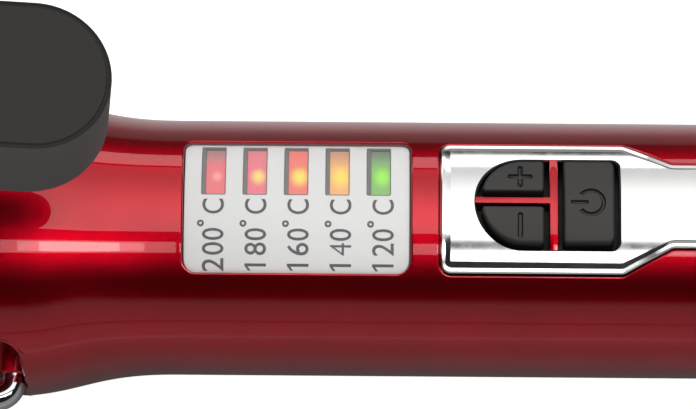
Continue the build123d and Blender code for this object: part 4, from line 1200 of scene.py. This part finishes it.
# %% Cool tip
TIP, TIP_PLUG, TIP_BORE, GROOVE = 13.1, 11.45, 9.9, 12.5
GROOVE_PITCH, X_PLUG = 3.2, -307.0
tip_side = [(X_TIP, 0.0), (X_TIP, 7.4), (X_TIP + 0.15, 8.1), (X_TIP + 0.55, 9.3), (X_TIP + 1.0, 10.4)]
tip_side += [(X_TIP + 1.6, 11.5), (X_TIP + 2.6, 12.4), (X_TIP + 4.0, 12.9), (X_TIP + 5.5, TIP)]
for i in (2, 1, 0):
    x = X_BARREL_END - 4.0 - GROOVE_PITCH * i
    tip_side += [(x - 0.12, TIP), (x + 0.05, 12.95), (x + 0.1, GROOVE)]
    tip_side += [(x + 0.9, GROOVE), (x + 0.95, 12.95), (x + 1.12, TIP)]
tip_side += [(X_BARREL_END - 0.2, TIP), (X_BARREL_END, 12.9), (X_BARREL_END, TIP_PLUG), (X_PLUG, TIP_PLUG)]
tip_side += [(X_PLUG, TIP_BORE), (X_TIP + 5.0, TIP_BORE), (X_TIP + 5.0, 0.0)]
tip = turned("cool_tip_cap", tip_side)
finish_piece(tip, black_plastic, "handle", "black_plastic", "cool_tip", angle=30.0)

# %% [markdown]
# ## The clamp
# The clamp plate is sheet metal rolled to the barrel. The lever is pressed from thicker sheet: a tab that is riveted
# to the plate, an arch over the hinge and an arm up to the thumb pad, with an ear down each side for the pin.

# %% Clamp plate
X_PIVOT, Z_PIVOT = -178.0, 17.5
CLAMP_INNER = BARREL + 0.4
CLAMP_OUTER = CLAMP_INNER + 0.8
clamp_plan = box_corners(-308.0, -186.0, -11.55, 11.55, 9.0)
clamp = flat_piece("clamp_spoon", clamp_plan, 0.0, (0, 0.62), (0.08, 0.12), (0.12, 0.05), steps=24)
lay_true(clamp, CLAMP_INNER)
finish_piece(clamp, barrel_chrome, "clamp", "barrel_chrome", "clamp_plate")

# %% Lever
X_TAB_FRONT, X_TAB_END, TAB_HALF = -211.0, -186.0, 6.0
X_WEB = X_TAB_END - 0.5
WEB, SHEET, SLOT_DEPTH = 4.0, 1.5, 6.6
EAR_IN, EAR_OUT = 7.0, 8.2
ARM_HALF = 5.8


def on_pad(along, depth):
    """(x, z) of a place along the pad from its round end, at a depth below its top."""
    tilt = radians(PAD_TILT)
    x = PAD_TIP[0] - along * cos(tilt) - depth * sin(tilt)
    return x, PAD_TIP[2] + along * sin(tilt) - depth * cos(tilt)


x_knee, z_knee = on_pad(33.0, SLOT_DEPTH)
z_tab = CLAMP_OUTER + 0.35
z_top = CLAMP_OUTER + SHEET
arm_below, arm_above = SLOT_DEPTH + SHEET / 2, SLOT_DEPTH - SHEET / 2
web_side = [
    (X_WEB, z_tab, 0),
    (X_PIVOT - WEB - 1.6, z_tab, 0.8),
    (X_PIVOT - WEB, Z_PIVOT, 2.5),
    (X_PIVOT - 0.5 * WEB, Z_PIVOT + 0.9 * WEB, 2.0),
    (X_PIVOT + 1.2, Z_PIVOT + WEB + 2.4, 2.5),
    (*on_pad(33.0, arm_below), 2.5),
    (*on_pad(5.0, arm_below), 0.3),
    (*on_pad(5.0, arm_above), 0.3),
    (*on_pad(33.8, arm_above), 3.5),
    (X_PIVOT, Z_PIVOT + WEB + 3.7, 3.5),
    (X_PIVOT - 0.8 * WEB, Z_PIVOT + 1.45 * WEB, 3.0),
    (X_PIVOT - WEB - 2.0, z_top + 0.4, 1.8),
    (X_WEB, z_top, 0),
]
lever = upright("pressed_lever", web_side, -EAR_OUT, EAR_OUT, steps=6)
for y0, y1 in ((-20.0, -ARM_HALF), (ARM_HALF, 20.0)):
    carve(lever, slab("trim_tool", x_knee - 1.5, -120.0, y0, y1, 30.0, 60.0))
ear_side = [
    (X_PIVOT - WEB - 1.0, Z_PIVOT - 1.5, 1.0),
    (X_PIVOT - 2.2, Z_PIVOT - 4.1, 2.2),
    (X_PIVOT + 2.4, Z_PIVOT - 3.9, 2.2),
    (X_PIVOT + 5.6, Z_PIVOT + 4.0, 3.0),
    (x_knee - 2.5, z_knee - 2.6, 1.0),
    (x_knee - 4.0, z_knee - 3.2, 0.6),
    (X_PIVOT - WEB + 0.5, Z_PIVOT + 5.0, 0.5),
]
for y0, y1 in ((-EAR_OUT, -EAR_IN), (EAR_IN, EAR_OUT)):
    carve(lever, upright("ear", ear_side, y0, y1), "UNION")
tab_plan = box_corners(X_TAB_FRONT, X_TAB_END, -TAB_HALF, TAB_HALF, 3.0, 0, 0, 3.0)
tab = flat_piece("tab", tab_plan, 0.02, (0, SHEET - 0.02))
carve(lever, lay_round(tab, CLAMP_OUTER), "UNION")
soften(lever, 0.18, 32.0)
carve(lever, cylinder(1.56, 30, (X_PIVOT, 0, Z_PIVOT), (90, 0, 0)))
finish_piece(lever, brushed_steel, "clamp", "steel", "lever_arm", angle=35.0)


# %% Rivets and hinge pin
def dome(name, radius, height, shank, reach):
    """A round-headed fastener standing on the origin along Z, its shank below."""
    side = [(height, 0.0), (height, 0.35 * radius), (0.85 * height, 0.68 * radius), (0.5 * height, 0.92 * radius)]
    side += [(0.0, radius), (0.0, shank), (-reach, shank), (-reach, 0.0)]
    return aim(turned(name, side, 48), (0, 0, 0), (0, -90, 0))


rivet_spots = [((x, 0, z_top),) for x in (-206.5, -197.5)]
rivets = set_out("lever_rivet_heads", dome("rivet", 1.9, 0.7, 0.98, 1.4), *rivet_spots)
finish_piece(rivets, brushed_steel, "clamp", "steel", "lever_rivets", angle=40.0)

pin_side = [(-9.55, 0.0), (-9.55, 1.9), (-9.4, 2.35), (-9.1, 2.6), (-8.55, 2.6), (-8.55, 1.5)]
pin_side += [(-x, radius) for x, radius in pin_side[::-1]]
pin = aim(turned("hinge_pin", pin_side, 48), (X_PIVOT, 0, Z_PIVOT), (0, 0, 90))
finish_piece(pin, brushed_steel, "handle", "steel", "pivot_pin", angle=40.0)

# %% Hinge bracket
BRACKET_IN, BRACKET_OUT = 5.4, 6.6
saddle_plan = box_corners(-183.3, -172.7, -BRACKET_OUT, BRACKET_OUT, 0.8)
bracket = lay_round(flat_piece("hinge_saddle", saddle_plan, 0.02, (0, 1.18), steps=6), BARREL)
ear_side = [(-181.4, 11.0, 0), (-174.6, 11.0, 0), (-174.6, 20.9, 3.35), (-181.4, 20.9, 3.35)]
for y0, y1 in ((-BRACKET_OUT, -BRACKET_IN), (BRACKET_IN, BRACKET_OUT)):
    ear = upright("ear", ear_side, y0, y1)
    carve(ear, cylinder(BARREL + 0.02, 20, (X_PIVOT, 0, 0), (0, 90, 0), sides=144))
    carve(bracket, ear, "UNION")
soften(bracket, 0.12, 32.0)
finish_piece(bracket, brushed_steel, "handle", "steel", "hinge_bracket")

# %% [markdown]
# The return spring is a torsion spring wound round the pin, with one leg on the hinge saddle and one on the lever. It
# is built where it sits and rides on no body.

# %% Return spring
COIL_RADIUS, COIL_PITCH, COIL_TURNS, COIL_WIRE = 2.9, 1.02, 6, 0.5
TURN_STEPS = 24
Z_SADDLE_LEG, Z_LEVER_LEG = 13.8, 24.05
half_coil = COIL_PITCH * COIL_TURNS / 2
x_leg = X_PIVOT + COIL_RADIUS
coil = [(x_leg, -half_coil, Z_SADDLE_LEG)]
for i in range(TURN_STEPS * COIL_TURNS + 1):
    turn = 2 * pi * i / TURN_STEPS
    y = -half_coil + COIL_PITCH * i / TURN_STEPS
    coil.append((X_PIVOT + COIL_RADIUS * cos(turn), y, Z_PIVOT + COIL_RADIUS * sin(turn)))
coil.append((x_leg, half_coil, Z_LEVER_LEG))
spring = rod("torsion_spring", coil, (), COIL_WIRE, 4)
coat_with(spring, spring_steel)
smooth(spring, 50.0)
settle(spring)
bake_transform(spring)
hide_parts("return_spring")
print("spring has", len(spring.data.polygons), "faces")

# %% [markdown]
# ## Screws, rear cap and cord gland
# Four pan-head screws with cross recesses hold the shells together. At the tail a flanged cap holds the cord gland,
# which turns so that the cord doesn't twist.

# %% Screws
CROSS_LONG, CROSS_WIDE = 2.6, 0.6
screw = dome("screw", 2.3, 1.6, 1.28, 9.0)
for long_x, long_y in ((CROSS_LONG, CROSS_WIDE), (CROSS_WIDE, CROSS_LONG)):
    carve(screw, block_at("slot_tool", 0, 0, long_x, long_y, 0.7, (0, 0.9), corner=0.0))
soften(screw, 0.06, 40.0)
aim(screw, (0, 0, 0), (180, 0, 0))
screws = set_out("case_screws", screw, *(((x, y, PARTING - SCREW_SEAT - 0.02),) for x, y in screw_spots))
finish_piece(screws, brushed_steel, "handle", "steel", "shell_screws")

# %% Rear cap
cap_side = [(-18.5, 6.26), (-18.5, 10.6), (-18.3, 10.8), (-16.52, 10.8), (-16.52, 9.0), (-13.98, 9.0)]
cap_side += [(-13.98, 11.2), (-13.8, 11.4), (-12.9, 11.4), (-12.45, 11.25), (-12.12, 10.85), (-12.0, 10.3)]
cap_side += [(-12.0, 9.5), (-12.25, 9.4), (-12.25, 9.0), (-12.0, 8.9), (-12.0, 6.5), (-12.2, 6.26)]
cap = turned("tail_cap", cap_side, 112, closed=True)
finish_piece(cap, black_plastic, "handle", "black_plastic", "rear_cap", angle=30.0)

# %% Cord gland
GLAND_BORE, GLAND_FOOT, X_CONE, CONE_SLOPE = 3.4, 8.15, -8.3, 0.345
RING_COUNT, RING_PITCH = 4, 1.7
gland_side = [(-34.85, GLAND_BORE), (-34.85, 4.6), (-20.85, 4.6), (-20.85, 8.4), (-18.85, 8.4), (-18.85, 6.2)]
gland_side += [(-11.65, 6.2), (-11.65, 7.7), (-11.3, 8.05), (-10.6, 8.35), (-9.4, 8.4), (X_CONE, GLAND_FOOT)]
for i in range(RING_COUNT):
    x = -7.6 + i * RING_PITCH
    radius = GLAND_FOOT - (x - X_CONE) * CONE_SLOPE
    gland_side += [(x, radius - 0.05), (x + 0.15, radius - 0.45), (x + 0.65, radius - 0.6), (x + 0.85, radius - 0.32)]
gland_side += [(-0.75, 5.5), (-0.25, 5.35), (0.0, 4.95), (0.0, 3.9), (-0.4, GLAND_BORE)]
gland = turned("swivel_gland", gland_side, 96, closed=True)
finish_piece(gland, black_plastic, "cord_end", "black_plastic", "cord_gland", angle=26.0)

# %% [markdown]
# ## Inner parts
# The board, the heater, the leads and the sliding contacts are good shapes already, so they stay and only get their
# finishes.

# %% Finishes for the inner parts
inner_finishes = {
    board_green: ("control_board",),
    part_black: ("tact_switches", "controller_chip", "power_switch", "brush_block"),
    can_sleeve: ("smoothing_capacitor",),
    heater_aluminium: ("heater_blocks",),
    heater_ceramic: ("ptc_element",),
    brushed_steel: ("temperature_sensor", "thermal_fuse"),
    lead_sleeve: ("heater_leads",),
    brass: ("slip_rings", "brushes"),
}
for material, nodes in inner_finishes.items():
    for node in nodes:
        coat_with(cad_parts[node], material)
    print(material.name, "on", ", ".join(nodes))

# %% [markdown]
# ## The studio
# Lacquer and plating show the room more than themselves. The room is a white floor and a few soft boxes, with dim air
# between them, which the lacquer shows as its dark bands. Under one big dome every metal would turn a flat grey.

# %% Floor
FLOOR_Z = -0.0195
let_go()
bpy.ops.mesh.primitive_plane_add(size=9.0, location=(0, 0, FLOOR_Z))
floor = bpy.context.object
floor.name = "floor"
recipe = Recipe("floor_painted_shade")
paper = recipe.noise(40.0, 2.0)
# painted shade on the floor, darkest below the tool, and painted light in a bright band just behind it and a thin
# bright streak out in front, which the lacquer reflects
across = recipe.axis("Y")
front = across.rise(-0.018, -0.034) * 0.20 + across.rise(-0.045, -0.08) * 0.18
# a painted bright streak on the floor, which the lacquer's lower flank reflects
edge = across.rise(-0.079, -0.087) * across.rise(-0.101, -0.093) * 0.30
behind = across.rise(0.012, 0.030) * (1 - across.rise(0.05, 0.12) * 0.85) * 0.62
recipe.surface(
    Base_Color=recipe.blend(front + edge + behind + paper * 0.04, (0.18, 0.18, 0.18), (0.75, 0.75, 0.75)),
    Roughness=0.9,
    Specular_IOR_Level=0.0,
)
matt = Mixture(recipe, recipe.shader.outputs[0])
lift = recipe.node("Emission", None, {"Color": (1.0, 1.0, 1.0), "Strength": 0.96})
lifted = recipe.node("AddShader", None, {0: matt, 1: lift})
choose = recipe.node("MixShader", None, {"Fac": recipe.seen(), 1: matt, 2: lifted})
coat_with(floor, recipe.replace_surface(choose))
print("floor at", FLOOR_Z, "m")

# %% Soft boxes
BOX_DISTANCE = 1.0
BOX_CENTRE = Vector((x_middle, 0, 0.01))


def face_panel(thing, name, across, along=0.0):
    """Stands a lamp or screen at degrees from straight up, towards +Y and towards +X, and turns it to the panel."""
    a, b = radians(across), radians(along)
    direction = Vector((sin(b), sin(a) * cos(b), cos(a) * cos(b)))
    side_x = (Vector((1, 0, 0)) - direction * direction.x).normalized()
    thing.name = name
    thing.location = BOX_CENTRE + direction * BOX_DISTANCE
    thing.rotation_euler = Matrix((side_x, direction.cross(side_x), direction)).transposed().to_euler()
    thing.visible_camera = False


def seen_size(angle):
    """How long a thing is that spans this many degrees, as the panel sees it."""
    return 2 * BOX_DISTANCE * tan(radians(angle / 2))


def soft_box(name, across, along, wide, long, radiance):
    """An area lamp, its size given in degrees."""
    let_go()
    bpy.ops.object.light_add(type="AREA")
    lamp = bpy.context.object
    face_panel(lamp, name, across, along)
    lamp.data.shape = "RECTANGLE"
    lamp.data.size, lamp.data.size_y = seen_size(long), seen_size(wide)
    lamp.data.energy = radiance * pi * lamp.data.size * lamp.data.size_y
    print(name, "at", round(across), "deg across, radiance", radiance)


def graded_box(name, across, wide, long, near, far):
    """A bright screen, as a soft box's cloth, whose glow fades from its near edge to its far edge."""
    let_go()
    bpy.ops.mesh.primitive_plane_add(size=1.0)
    screen = bpy.context.object
    screen.scale = (seen_size(long), seen_size(wide), 1)
    settle(screen)
    face_panel(screen, name, across)
    recipe = Recipe(name + "_cloth")
    across_cloth = (recipe.axis("Y") / seen_size(wide) + 0.5).rise(0.15, 1.0)
    light = recipe.node("Emission", None, {"Color": (1, 1, 1), "Strength": across_cloth * (far - near) + near})
    coat_with(screen, recipe.replace_surface(light))
    print(name, "fades from", near, "to", far)


graded_box("box_behind", 24.0, 63.0, 80.0, 1.95, 0.66)
soft_box("box_behind_low", 64.0, 0.0, 13.0, 80.0, 2.1)
soft_box("box_over", -21.5, 16.0, 10.0, 36.8, 2.2)
soft_box("lamp_over", -21.5, 23.0, 7.5, 22.0, 7.0)
soft_box("lamp_over_end", -21.5, 8.0, 7.5, 8.0, 2.6)

# %% Dim room
scene = bpy.context.scene
scene.view_settings.view_transform = "Standard"
room = Recipe("room", bpy.data.worlds)
scene.world = room.owner
glossy = room.node("LightPath", output="Is Glossy Ray")
height, depth = room.axis("Z", "Generated"), room.axis("Y", "Generated")
near_wall = (1 - height.rise(0.28, 0.42)) * (1 - depth.rise(-0.2, 0.2))
mirror = near_wall * 0.36 + 0.012
user_side = (1 - height.rise(0.35, 0.85)) * (1 - depth.rise(-0.9, 0.1))
soft_fill = user_side * 0.5 + 0.34
plain = room.seen()
room.surface(Color=(1, 1, 1), Strength=plain + (1 - plain) * (glossy * mirror + (1 - glossy) * soft_fill))
print("room ready")
